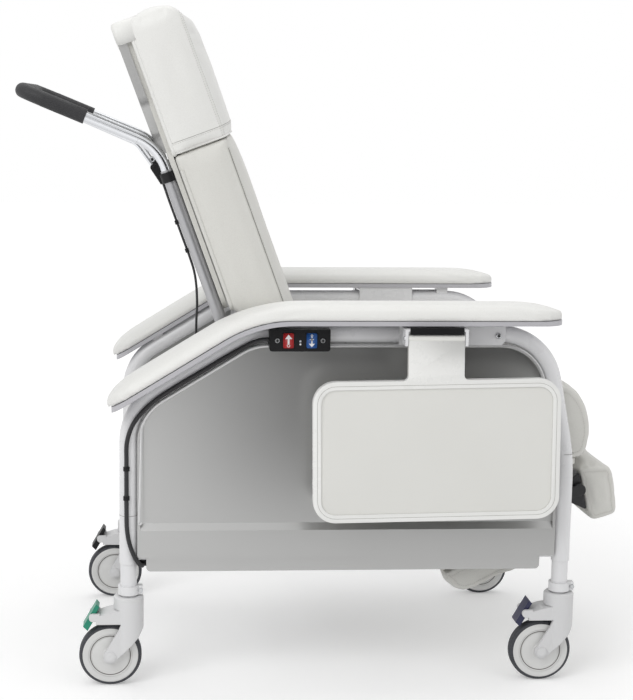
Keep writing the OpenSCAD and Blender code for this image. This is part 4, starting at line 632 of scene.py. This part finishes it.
leadSet = {"radius": 0.0045, "y": -0.3168, "endY": -0.2895}
leadRoute = [
    (0.277, -0.008, 0.716), (0.262, -0.006, 0.715), (0.240, 0, 0.706), (0.200, 0, 0.684), (0.150, 0, 0.654),
    (0.100, 0, 0.624), (0.060, 0, 0.598), (0.030, 0, 0.572), (0.008, 0, 0.542), (-0.003, 0, 0.508),
    (-0.004, 0, 0.470), (-0.004, 0, 0.420), (-0.004, 0, 0.370), (-0.003, 0, 0.330), (0.002, 0, 0.300),
    (0.011, 0, 0.275), (0.021, 0.003, 0.258), (0.027, 0.013, 0.251)]
leadPoints = [onSide(run, leadSet["y"] + y, z) for run, y, z in leadRoute]
leadPoints += [onSide(0.028, leadSet["endY"] - 0.004, 0.250), onSide(0.028, leadSet["endY"], 0.250)]
controlCable = roundBar("controlCable", smoothRoute(leadPoints, 6), leadSet["radius"], "chair_base",
                        "cable_rubber", sides=6)
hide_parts("control_cable")

releaseSet = {"radius": 0.0025, "leverOut": -0.0795, "leverAlong": -0.0501}
releaseRoute = [
    (-0.015, -0.2245, 0.475), (-0.015, -0.2245, 0.463), (-0.0155, -0.228, 0.435), (-0.0155, -0.228, 0.400),
    (-0.0155, -0.228, 0.360), (-0.0155, -0.228, 0.320), (-0.017, -0.227, 0.290), (-0.023, -0.226, 0.260),
    (-0.034, -0.222, 0.225), (-0.050, -0.214, 0.185), (-0.066, -0.200, 0.140), (-0.078, -0.180, 0.095),
    (-0.084, -0.150, 0.050), (-0.085, -0.115, 0.010), (-0.084, -0.080, -0.022)]
releasePoints = [onBack(*spot) for spot in releaseRoute]
releasePoints += [onBack(releaseSet["leverOut"], -0.050, releaseSet["leverAlong"]),
                  onBack(releaseSet["leverOut"], -0.017, releaseSet["leverAlong"])]
releaseCable = roundBar("releaseCable", smoothRoute(releasePoints, 6), releaseSet["radius"], "backrest",
                        "cable_rubber", sides=5)
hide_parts("release_cable")
print("cables laid")


# Rounded pieces: copies of hard solids, their edges bevelled by weight
copySet = {"weld": 0.00002, "flat": math.radians(0.6), "sharp": math.radians(32)}


def copyOf(node, weld):
    bm = bmesh.new()
    bm.from_mesh(nodes[node].data)
    bmesh.ops.remove_doubles(bm, verts=bm.verts, dist=weld)
    return bm


def softened(name, node, width, weigh, segments=3):
    bm = copyOf(node, copySet["weld"])
    bmesh.ops.dissolve_limit(bm, angle_limit=copySet["flat"], verts=bm.verts, edges=bm.edges,
                             delimit={"NORMAL"})
    marks = bm.edges.layers.float.new("bevel_weight_edge")
    for edge in bm.edges:
        if len(edge.link_faces) == 2 and edge.calc_face_angle(0) > copySet["sharp"]:
            edge[marks] = weigh(edge)
    holder = placed(name, meshFrom(name, bm))
    bevel = holder.modifiers.new("rounding", "BEVEL")
    bevel.limit_method = "WEIGHT"
    bevel.width = width
    bevel.segments = segments
    bevel.harden_normals = True
    mesh = evaluatedMesh(holder, name)
    bpy.data.objects.remove(holder)
    return mesh


traySet = {"fieldY": 0.3875, "top": 0.645, "width": 0.0045, "tilt": 1.0, "hinge": (0.599, 0.727),
           "middle": (0.602, 0.504), "half": (0.245, 0.141)}


def trayWeight(edge):
    # Full rounding outside the rim, less on the strap, least at the field's edge
    walls = [face for face in edge.link_faces if abs(face.normal.y) < 0.3]
    flats = [face for face in edge.link_faces if abs(face.normal.y) > 0.7]
    if len(walls) != 1 or len(flats) != 1:
        return 0
    ys = [vert.co.y for vert in walls[0].verts]
    tall = max(ys) - min(ys)
    return 1.0 if tall > 0.016 else 0.4 if tall > 0.005 else 0.3


def buttonWeight(edge):
    a, b = (vert.co for vert in edge.verts)
    return 1.0 if abs(a.y - b.y) > 0.004 else 0.3 if a.y < -0.34 else 0


for sideName, _ in sides:
    trayMesh = softened(sideName + "TrayBoard", sideName + "_tray", traySet["width"], trayWeight)
    trayPiece = asPiece(sideName + "TrayBoard", trayMesh, sideName + "_tray_arm", "tray_plastic")
    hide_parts(sideName + "_tray")
    # Painted highlight: faces off the field and below the strap take the lighter copy of the tray finish
    trayMesh.materials.append(finishes["trayRimHighlight"])
    for face in trayMesh.polygons:
        spot = face.center
        onField = abs(abs(spot.y) - traySet["fieldY"]) < 0.0004
        face.material_index = 0 if onField or spot.z > traySet["top"] + 0.008 else 1
for colourName in ("red", "blue"):
    capMesh = softened(colourName + "Cap", colourName + "_button", 0.0032, buttonWeight, 4)
    capPiece = asPiece(colourName + "Cap", capMesh, colourName + "_key", colourName + "_plastic")
    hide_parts(colourName + "_button")
print("trays and buttons rounded")


# Small turned and flat details
def turned(name, profile, place, axis, body, slotName, finish=None, steps=20):
    # Radius and height pairs spun about an axis
    bm = bmesh.new()
    verts = [bm.verts.new((radius, 0, height)) for radius, height in profile]
    edges = [bm.edges.new(pair) for pair in zip(verts, verts[1:])]
    bmesh.ops.spin(bm, geom=verts + edges, cent=(0, 0, 0), axis=(0, 0, 1), angle=math.tau, steps=steps,
                   use_merge=True)
    bmesh.ops.remove_doubles(bm, verts=bm.verts, dist=0.000001)
    bmesh.ops.recalc_face_normals(bm, faces=bm.faces)
    turn = Vector((0, 0, 1)).rotation_difference(Vector(axis)).to_matrix().to_4x4()
    bm.transform(Matrix.Translation(place) @ turn)
    return asPiece(name, meshFrom(name, bm), body, slotName, finish)


def flatSign(name, outlines, depth, body, slotName, finish):
    # Thin raised shapes on a face across the chair, as outlines in run and height
    bm = bmesh.new()
    for outline in outlines:
        face = bm.faces.new([bm.verts.new(onSide(run, depth, height)) for run, height in outline])
        grown = bmesh.ops.extrude_face_region(bm, geom=[face])["geom"]
        for item in grown:
            if isinstance(item, bmesh.types.BMVert):
                item.co.y -= 0.00018
    bmesh.ops.recalc_face_normals(bm, faces=bm.faces)
    return asPiece(name, meshFrom(name, bm), body, slotName, finish, smooth=False)


def ringAt(run, depth, height, radius, count=20):
    turns = [math.tau * i / count for i in range(count)]
    return [onSide(run + radius * math.cos(turn), depth, height + radius * math.sin(turn)) for turn in turns]


keySet = {"z": 0.716, "face": -0.3421, "redRun": 0.314, "blueRun": 0.360, "boxFace": -0.340}


def arrowOutline(run, tip, neck, tail, half, shaft):
    z = keySet["z"]
    return [(run, z + tip), (run - half, z + neck), (run - shaft, z + neck), (run - shaft, z + tail),
            (run + shaft, z + tail), (run + shaft, z + neck), (run + half, z + neck)]


def markButtons():
    y, z, red, blue, box = keySet["face"], keySet["z"], keySet["redRun"], keySet["blueRun"], keySet["boxFace"]
    flatSign("redArrow", [arrowOutline(red, 0.0125, 0.0035, -0.0065, 0.0072, 0.0019)], y, "red_key",
             "red_plastic", "signWhite")
    roundBar("redRing", ringAt(red, y, z - 0.0098, 0.0026), 0.0006, "red_key", "red_plastic", "signWhite", True)
    flatSign("blueArrow", [arrowOutline(blue, -0.0125, -0.0055, 0.0075, 0.0062, 0.0012),
                           arrowOutline(blue, -0.0005, 0.0035, 0.0055, 0.0045, 0.0012)],
             y, "blue_key", "blue_plastic", "signWhite")
    roundBar("blueRing", ringAt(blue, y, z + 0.0104, 0.0018), 0.0006, "blue_key", "blue_plastic", "signWhite",
             True)
    for name, run, height, finish, profile in (
            ("lampLens", 0.3376, 0.7147, "lens",
             [(0, 0.0012), (0.0014, 0.0010), (0.0022, 0.0004), (0.0024, 0)]),
            ("lampRing", 0.3376, 0.7147, None, [(0.0024, 0), (0.0025, 0.0006), (0.0031, 0.0006), (0.0033, 0)]),
            ("lampDot", 0.3377, 0.7087, "signWhite", [(0, 0.0006), (0.0015, 0.0005), (0.0019, 0)])):
        turned(name, profile, onSide(run, box, height), (0, -1, 0), "chair_base", "black_plastic", finish)


domeProfile = [(0, 1.0), (0.35, 0.95), (0.7, 0.72), (0.92, 0.38), (1.0, 0.05), (1.0, -0.15)]
screwSet = {
    "box": {"y": 0.3400, "z": 0.7160, "radius": 0.0048, "height": 0.0023, "slot": 0.3},
    "plate": {"y": 0.3200, "z": 0.7225, "radius": 0.0060, "height": 0.0018, "slot": 0.1},
    "ear": {"y": 0.3835, "z": 0.7270, "radius": 0.0052, "height": 0.0030},
}


def addScrew(name, s, run, k, axis):
    place, z = onSide(run, k * s["y"], s["z"]), s["z"]
    profile = [(r * s["radius"], h * s["height"]) for r, h in domeProfile]
    turned(name, profile, place, axis, "chair_base", slotOf["screws"], "zinc", 16)
    if "slot" not in s:
        return
    arm, thin, top = s["radius"] * 0.62, s["radius"] * s["slot"], k * s["y"] + axis[1] * s["height"] * 0.93
    # The cross recess is a flat dark sign on the head: painted shade in the recess
    cross = [[(run - a, z - b), (run + a, z - b), (run + a, z + b), (run - a, z + b)]
             for a, b in ((arm, thin), (thin, arm))]
    slot = flatSign(name + "SlotShade", cross, top, "chair_base", slotOf["screws"], "recessShade")
    if k > 0:
        for vert in slot.data.vertices:
            vert.co.y = 2 * top - vert.co.y


def addScrews():
    for end, run in (("Rear", 0.292), ("Front", 0.382)):
        addScrew("boxScrew" + end, screwSet["box"], run, -1, (0, -1, 0))
    for side, k in sides:
        addScrew("plateScrew" + side.title(), screwSet["plate"], 0.736, k, (0, k, 0))
    for side, k in sides:
        for end, run, way in (("Rear", 0.5370, -1), ("Front", 0.6610, 1)):
            addScrew("earScrew" + side.title() + end, screwSet["ear"], run, k, (way, 0, 0))


capProfile = [(0, 0.0020), (0.0012, 0.0024), (0.0098, 0.0027), (0.0103, 0.0021), (0.0108, 0.0021),
              (0.0113, 0.0025), (0.0118, 0.0019), (0.0119, 0)]


def addAxleCaps():
    for end, run in (("rear", 0.0), ("front", wheelbase)):
        for side, k in sides:
            for face, j in (("Outer", 1), ("Inner", -1)):
                place = onSide(run - 0.037, k * (halfSpread + j * 0.0255), 0.0635)
                turned(side + end.title() + face + "Cap", capProfile, place, (0, k * j, 0),
                       side + "_" + end + "_swivel", "caster_nylon", None, 32)


def addJoints():
    # Thin shadow lines where the leg sections meet
    s = {"ring": 0.01855, "thick": 0.0004, "places": (("Front", 0.8855, 0.4785), ("Rear", 0.0, 0.355))}
    for side, k in sides:
        for label, run, z in s["places"]:
            ring = [Vector((rearLegX + run + s["ring"] * math.cos(math.tau * i / 40),
                            k * halfSpread + s["ring"] * math.sin(math.tau * i / 40), z)) for i in range(40)]
            roundBar(side + label + "Joint", ring, s["thick"], "chair_base", "frame_paint", "seamShadow", True,
                     1)


def addStrapShadow(side, k):
    # A black bar under the arm, over the tray's strap: painted shadow where the arm's shade falls
    s = {"from": 0.546, "to": 0.652, "y": 0.3920, "thick": 0.0025, "low": 0.7352, "high": 0.7496,
         "round": 0.0006}
    bm = bmesh.new()
    size = Matrix.Diagonal((s["to"] - s["from"], s["thick"], s["high"] - s["low"], 1))
    middle = onSide((s["from"] + s["to"]) / 2, k * s["y"], (s["low"] + s["high"]) / 2)
    bmesh.ops.create_cube(bm, size=1, matrix=Matrix.Translation(middle) @ size)
    bmesh.ops.bevel(bm, geom=bm.edges[:], offset=s["round"], offset_type="OFFSET", segments=2, profile=0.5,
                    affect="EDGES", material=-1)
    asPiece(side + "StrapShadow", meshFrom(side + "StrapShadow", bm), "chair_base", "black_plastic", smooth=False)


def trayOutline(inset, radius):
    # The tray's rounded outline, moved in from its edge, in run and height, hung at its tilt
    (hingeRun, hingeZ), (midRun, midZ) = traySet["hinge"], traySet["middle"]
    halfL, halfW = (half - inset for half in traySet["half"])
    spots = []
    for cx, cz, start in ((1, 1, 0), (-1, 1, 90), (-1, -1, 180), (1, -1, 270)):
        for i in range(9):
            turn = math.radians(start + 90 * i / 8)
            spots.append(Vector((midRun + cx * (halfL - radius) + radius * math.cos(turn) - hingeRun,
                                 midZ + cz * (halfW - radius) + radius * math.sin(turn) - hingeZ)))
    c, s = math.cos(math.radians(traySet["tilt"])), math.sin(math.radians(traySet["tilt"]))
    return [(hingeRun + v.x * c - v.y * s, hingeZ + v.x * s + v.y * c) for v in spots]


def lineTrays():
    # Painted shade: thin grey cords along the fine groove around the field and a softer one along the middle of
    # the rim
    for side, k in sides:
        for label, inset, radius, thick, y in (("GrooveShade", 0.0156, 0.0294, 0.0006, 0.3876),
                                               ("StepShade", 0.0085, 0.0365, 0.0004, 0.3905)):
            spots = [onSide(run, k * y, z) for run, z in trayOutline(inset, radius)]
            roundBar(side + "Tray" + label, evenly(spots, 0.004, True), thick, side + "_tray_arm",
                     "tray_plastic", "grooveShade", True, 1)


def beadPanels():
    # A rolled bead along the rim of each side panel's recess, in a lighter copy of the panel finish that is
    # painted highlight
    s = {"radius": 0.0036, "level": 0.3112, "out": 0.0026, "middle": (0.44, 0.45), "low": 0.326, "step": 0.005}
    middle = onSide(s["middle"][0], 0, s["middle"][1])
    for side, k in sides:
        bm = copyOf(side + "_side_panel", copySet["weld"])
        far = max(abs(vert.co.y) for vert in bm.verts) - 0.0003
        spots = []
        for edge in bm.edges:
            flats = [face for face in edge.link_faces if abs(face.normal.y) > 0.95]
            walls = [face for face in edge.link_faces if abs(face.normal.y) < 0.7]
            if len(flats) != 1 or len(walls) != 1 or min(abs(vert.co.y) for vert in edge.verts) < far:
                continue
            inward = walls[0].normal
            for vert in edge.verts:
                spot = vert.co - inward * s["out"]
                if inward.dot(middle - vert.co) > 0 and spot.z > s["low"]:
                    spots.append(Vector((spot.x, k * s["level"], spot.z)))
        bm.free()
        spots.sort(key=lambda spot: (math.atan2(spot.z - middle.z, spot.x - middle.x) + math.pi / 2) % math.tau)
        roundBar(side + "PanelBead", evenly(spots, s["step"]), s["radius"], "chair_base", "panel_plastic",
                 "panelRimHighlight", sides=4)


beadPanels()
markButtons()
lineTrays()
addScrews()
addAxleCaps()
addJoints()
for sideName, sign in sides:
    addStrapShadow(sideName, sign)
print("small details added")


# Upholstery: each pad is a copy of its solid, remeshed, puffed between its sewn seams, then finished
# cap and gain bound the swelling, rest is the way that the board side faces, turns are the seams' angles
# around the back, and pins the parts of them that hold the cloth while it swells
padSet = {
    "seatCushion": {"node": "seat_cushion", "body": "chair_base", "slot": "vinyl", "voxel": 0.0065,
                    "shrink": 0.0010, "cap": 0.011, "gain": 1.7, "rest": (0, 0, -1), "inset": 0.012,
                    "deep": 0.0004},
    "backCushion": {"node": "back_cushion", "body": "backrest", "slot": "vinyl", "voxel": 0.006,
                    "shrink": 0.0005, "cap": 0.0105, "gain": 2.2, "rest": "board", "endHeld": True,
                    "out": 0.1305, "span": (0.02, 0.50), "turns": [(-223.5, 43.5)], "deep": 0.0010},
    "headCover": {"node": "head_cover", "body": "backrest", "slot": "vinyl_light", "voxel": 0.006,
                  "shrink": 0.0, "cap": 0.0092, "gain": 2.2, "rest": "board", "out": 0.131,
                  "span": (0.52, 0.80), "turns": [(-40, 220)], "pins": [(-40, 16), (164, 220)],
                  "deep": 0.0004, "seamShadeStrength": 0.25},
    "calfPad": {"node": "calf_pad", "body": "leg_rest", "slot": "vinyl", "voxel": 0.006,
                "shrink": 0.0005, "cap": 0.0095, "gain": 1.8, "inset": 0.011, "deep": 0.0004},
    "footPad": {"node": "foot_pad", "body": "foot_rest", "slot": "vinyl", "voxel": 0.005,
                "shrink": 0.0, "cap": 0.0085, "gain": 2.4, "inset": 0.009, "deep": 0.0004},
}
for sideName, _ in sides:
    padSet[sideName + "ArmPad"] = {"node": sideName + "_arm_pad", "body": "chair_base", "slot": "vinyl_light",
                                   "voxel": 0.005, "shrink": 0.0, "cap": 0.003, "rest": (0, 0, -1)}
puffSet = {"frames": 20, "pinReach": 0.006, "facing": 0.55, "fill": 0.75}
clothSet = {"quality": 4, "mass": 0.35, "tension_stiffness": 12, "compression_stiffness": 12,
            "shear_stiffness": 6, "bending_stiffness": 1.2, "use_pressure": True,
            "uniform_pressure_force": 4.0, "vertex_group_mass": "held"}
seamSet = {"step": 0.005, "width": 0.0022, "gatherReach": 0.012, "ripple": 0.0011, "farthest": 0.05}


def skinTree(mesh):
    bm = bmesh.new()
    bm.from_mesh(mesh)
    tree = BVHTree.FromBMesh(bm)
    bm.free()
    return tree


def ringAround(tree, centre, axisA, axisB, start, end, count, reach=1.2):
    # Points on the skin, found by looking in from outside, turning from one axis towards the other
    spots = []
    for i in range(count):
        turn = math.radians(start + (end - start) * i / max(count - 1, 1))
        away = axisA * math.cos(turn) + axisB * math.sin(turn)
        spot, normal, _, _ = tree.ray_cast(centre + away * reach, -away)
        if spot is not None:
            spots.append(spot)
    return spots


def sideLoop(tree, box, side, inset):
    # The outline of a pad's side face, moved in from its edge by a fixed distance
    low, high = box
    half = (high.y - low.y) / 2
    centre = (low + high) / 2
    start = Vector((centre.x, centre.y + side * (half - 0.012), centre.z))
    edge = ringAround(tree, start, Vector((1, 0, 0)), Vector((0, 0, 1)), 0, 360, 181)[:-1]
    loop = []
    for i, spot in enumerate(edge):
        along = edge[(i + 1) % len(edge)] - edge[i - 1]
        inward = Vector((-along.z, 0, along.x)).normalized()
        if inward.dot(centre - spot) < 0:
            inward = -inward
        probe = spot + inward * inset
        hit, _, _, _ = tree.ray_cast(Vector((probe.x, centre.y + side, probe.z)), Vector((0, -side, 0)))
        if hit is not None and abs(hit.y - centre.y) > half - 0.03:
            loop.append(hit)
    return evenly(loop, seamSet["step"], closed=True)


def backLoop(tree, out, fromAlong, toAlong, turnFrom, turnTo):
    # A line around the back's sides, level with its front: across and along it
    middle = (fromAlong + toAlong) / 2
    line = ringAround(tree, onBack(out, 0, middle), Vector((0, 1, 0)), upBack, turnFrom, turnTo, 320)
    return evenly(line, seamSet["step"])


def seamLines(tree, s, box, pins=False):
    if "inset" in s:
        return [sideLoop(tree, box, side, s["inset"]) for side in (-1, 1)]
    turns = s["pins"] if pins and "pins" in s else s.get("turns", [])
    return [backLoop(tree, s["out"], *s["span"], *pair) for pair in turns]


def remeshed(name, s):
    # A closed quad skin of one voxel size, drawn in a little so that it can swell
    bm = copyOf(s["node"], 0.00005)
    bmesh.ops.recalc_face_normals(bm, faces=bm.faces)
    holder = placed(name, meshFrom(name, bm))
    voxels = holder.modifiers.new("voxels", "REMESH")
    voxels.mode = "VOXEL"
    voxels.voxel_size = s["voxel"]
    mesh = evaluatedMesh(holder, name)
    bpy.data.objects.remove(holder)
    bm = bmesh.new()
    bm.from_mesh(mesh)
    bm.normal_update()
    for vert in bm.verts:
        vert.co -= vert.normal * s["shrink"]
    bmesh.ops.smooth_vert(bm, verts=bm.verts, factor=0.3, use_axis_x=True, use_axis_y=True, use_axis_z=True)
    bm.to_mesh(mesh)
    bm.free()
    return mesh


def restWays(s):
    # The ways that a pad's held faces look: where it lies on its board, and the back's end under the head cover
    if s.get("rest") == "board":
        return [-outBack, upBack] if "endHeld" in s else [-outBack]
    return [Vector(s["rest"])] if "rest" in s else []


def nearestLine(lines):
    spots = [spot for line in lines for spot in line]
    if not spots:
        return None
    tree = KDTree(len(spots))
    for i, spot in enumerate(spots):
        tree.insert(spot, i)
    tree.balance()
    return tree


def startPuff(piece, s, lines):
    # Cloth under inner pressure, held along the seams and on the board side
    near = nearestLine(lines)
    held = piece.vertex_groups.new(name="held")
    ways = restWays(s)
    for vert in piece.data.vertices:
        grip = 1.0 if any(vert.normal.dot(way) > puffSet["facing"] for way in ways) else 0.0
        if near is not None:
            grip = max(grip, min(1.0, 1.5 - near.find(vert.co)[2] / puffSet["pinReach"]))
        if grip > 0:
            held.add([vert.index], grip, "REPLACE")
    cloth = piece.modifiers.new("puff", "CLOTH")
    for label, value in clothSet.items():
        setattr(cloth.settings, label, value)
    cloth.settings.effector_weights.gravity = 0
    cloth.collision_settings.use_collision = False
    cloth.point_cache.frame_start = 1
    cloth.point_cache.frame_end = puffSet["frames"]


def endPuff(piece, rest, s):
    # The swollen shape, its reach eased off towards the cap
    mesh = evaluatedMesh(piece, piece.name)
    piece.modifiers.clear()
    piece.vertex_groups.clear()
    for vert, before in zip(mesh.vertices, rest):
        move = vert.co - before
        if move.length > 0:
            full = s["cap"] * math.tanh(move.length * s.get("gain", 1.0) / s["cap"])
            vert.co = before + move.normalized() * full
    old = piece.data
    piece.data = mesh
    bpy.data.meshes.remove(old)


def refine(piece, s, box):
    # One subdivision, then a sewn groove with gathers beside it and a seam attribute that holds the groove's
    # painted shade for the finish
    bm = bmesh.new()
    bm.from_mesh(piece.data)
    bmesh.ops.smooth_vert(bm, verts=bm.verts, factor=0.4, use_axis_x=True, use_axis_y=True, use_axis_z=True)
    bmesh.ops.subdivide_edges(bm, edges=bm.edges, cuts=1, use_grid_fill=True, smooth=0.0)
    bmesh.ops.smooth_vert(bm, verts=bm.verts, factor=0.5, use_axis_x=True, use_axis_y=True, use_axis_z=True)
    bm.to_mesh(piece.data)
    bm.free()
    lines = seamLines(skinTree(piece.data), s, box)
    near = nearestLine(lines)
    seamShadeMask = piece.data.attributes.new("shadedSeam", "FLOAT", "POINT")
    values = [0.0] * len(piece.data.vertices)
    if near is not None:
        normals = [vert.normal.copy() for vert in piece.data.vertices]
        for vert, normal in zip(piece.data.vertices, normals):
            _, index, away = near.find(vert.co)
            if away > seamSet["farthest"]:
                continue
            shadedGroove = math.exp(-(away / seamSet["width"]) ** 2)
            gather = math.exp(-away / seamSet["gatherReach"]) * (1 - shadedGroove)
            ripple = noise.noise(Vector((index * 0.21, away * 25, 3.0))) * seamSet["ripple"]
            vert.co += normal * (ripple * gather - shadedGroove * s["deep"])
            # Painted shade in the groove, weaker where a pad sets a lower strength
            values[vert.index] = shadedGroove * s.get("seamShadeStrength", 1.0)
    seamShadeMask.data.foreach_set("value", values)
    piece.data.update()
    return lines


def makePads():
    made = {}
    for name, s in padSet.items():
        mesh = remeshed(name, s)
        piece = asPiece(name, mesh, s["body"], s["slot"])
        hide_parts(s["node"])
        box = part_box(s["node"])
        made[name] = {"piece": piece, "box": box}
        made[name]["rest"] = [vert.co.copy() for vert in mesh.vertices]
        startPuff(piece, s, seamLines(skinTree(mesh), s, box, True))
    for number in range(1, puffSet["frames"] + 1):
        bpy.context.scene.frame_set(number)
    for name, item in made.items():
        endPuff(item["piece"], item["rest"], padSet[name])
    bpy.context.scene.frame_set(1)
    for name, item in made.items():
        item["lines"] = refine(item["piece"], padSet[name], item["box"])
        item["tree"] = skinTree(item["piece"].data)
    return made


pads = makePads()
print("pads puffed")


# Sewing: rows of stitches and rolled welts on the pads
sewSet = {"pitch": 0.0048, "length": 0.0017, "thick": 0.00045, "sunk": 0.0001, "rowApart": 0.0045,
          "headApart": 0.0035, "hemApart": 0.003}
weltSet = {"backWelt": {"out": 0.029, "span": (0.02, 0.50), "turns": (-222, 42), "radius": 0.0042},
           "headWelt": {"out": 0.026, "span": (0.54, 0.80), "turns": (-35, 215), "radius": 0.0045}}


def snapped(tree, spots):
    # Each point brought onto the skin, with its normal
    found = []
    for spot in spots:
        hit, normal, _, _ = tree.find_nearest(spot)
        if hit is not None:
            found.append((hit, normal))
    return found


def shifted(tree, line, amount, closed):
    # A line beside another one on the same skin
    moved = []
    pairs = snapped(tree, line)
    for i, (spot, normal) in enumerate(pairs):
        after = pairs[(i + 1) % len(pairs)][0] if closed or i + 1 < len(pairs) else spot
        before = pairs[i - 1][0] if closed or i > 0 else spot
        along = (after - before).normalized()
        moved.append(spot + along.cross(normal) * amount)
    return [spot for spot, _ in snapped(tree, moved)]


def stitchRow(name, tree, line, body, closed=False):
    spots = snapped(tree, evenly(line, sewSet["pitch"], closed))
    bm = bmesh.new()
    for i, (spot, normal) in enumerate(spots):
        if not closed and i + 1 >= len(spots):
            break
        ahead = (spots[(i + 1) % len(spots)][0] - spot).normalized()
        side = ahead.cross(normal).normalized()
        up = side.cross(ahead)
        turn = Matrix((ahead, side, up)).transposed().to_4x4()
        size = Matrix.Diagonal((sewSet["length"], sewSet["thick"], sewSet["thick"], 1))
        bmesh.ops.create_uvsphere(bm, u_segments=5, v_segments=4, radius=1.0,
                                  matrix=Matrix.Translation(spot + normal * sewSet["sunk"]) @ turn @ size)
    return asPiece(name, meshFrom(name, bm), body, "vinyl", "thread")


def wrapShell():
    # The head cover's rear hem, folded over the rounded top of the shell
    s = {"rear": -0.0072, "front": 0.060, "low": 0.757, "top": 0.8025, "half": 0.2574, "corner": 0.022,
         "edge": 0.009}
    outline = [(-s["half"], s["low"]), (s["half"], s["low"])]
    for side, start in ((1, 0), (-1, 90)):
        for i in range(7):
            turn = math.radians(start + 15 * i)
            outline.append((side * (s["half"] - s["corner"]) + s["corner"] * math.cos(turn),
                            s["top"] - s["corner"] + s["corner"] * math.sin(turn)))
    bm = bmesh.new()
    rear = bm.faces.new([bm.verts.new(onBack(s["rear"], across, along)) for across, along in outline])
    grown = bmesh.ops.extrude_face_region(bm, geom=[rear])["geom"]
    deep = onBack(s["front"] - s["rear"], 0, 0) - onBack(0, 0, 0)
    front = [item for item in grown if isinstance(item, bmesh.types.BMVert)]
    bmesh.ops.translate(bm, verts=front, vec=deep)
    ends = set(front)
    rim = [edge for edge in bm.edges if not ends & set(edge.verts)]
    bmesh.ops.bevel(bm, geom=rim, offset=s["edge"], offset_type="OFFSET", segments=5, profile=0.5,
                    affect="EDGES", material=-1)
    bmesh.ops.recalc_face_normals(bm, faces=bm.faces)
    asPiece("coverHem", meshFrom("coverHem", bm), "backrest", "vinyl_light")


def addWelt(name, tree, slotName):
    s = weltSet[name]
    line = backLoop(tree, s["out"], *s["span"], *s["turns"])
    roundBar(name, line, s["radius"], "backrest", slotName, sides=4)


def sewPads(made):
    for name in ("seatCushion", "calfPad", "footPad"):
        item, body = made[name], padSet[name]["body"]
        for side, line in zip(("Right", "Left"), item["lines"]):
            stitchRow(name + side + "Stitches", item["tree"], line, body, True)
    tree, shadedSeam = made["backCushion"]["tree"], made["backCushion"]["lines"][0]
    roundBar("backSeam", shadedSeam, 0.0006, "backrest", "vinyl", "seamShadow", sides=1)
    stitchRow("backStitches", tree, shifted(tree, shadedSeam, -sewSet["rowApart"], False), "backrest")
    addWelt("backWelt", tree, "vinyl")
    tree, shadedSeam = made["headCover"]["tree"], made["headCover"]["lines"][0]
    for label, k in (("Front", 1), ("Rear", -1)):
        stitchRow("headStitches" + label, tree, shifted(tree, shadedSeam, k * sewSet["headApart"], False), "backrest")
    for label, along, radius, finish in (("hemEdge", 0.5235, 0.0022, None),
                                         ("hemLine", 0.5445, 0.0004, "seamShadow")):
        ring = ringAround(tree, onBack(0.07, 0, along), outBack, Vector((0, 1, 0)), -125, 125, 300)
        ring = evenly(ring, seamSet["step"])
        roundBar(label, ring, radius, "backrest", "vinyl_light", finish, sides=3)
    stitchRow("hemStitches", tree, shifted(tree, ring, sewSet["hemApart"], False), "backrest")
    addWelt("headWelt", tree, "vinyl_light")
    wrapShell()


sewPads(pads)
print("pads sewn")
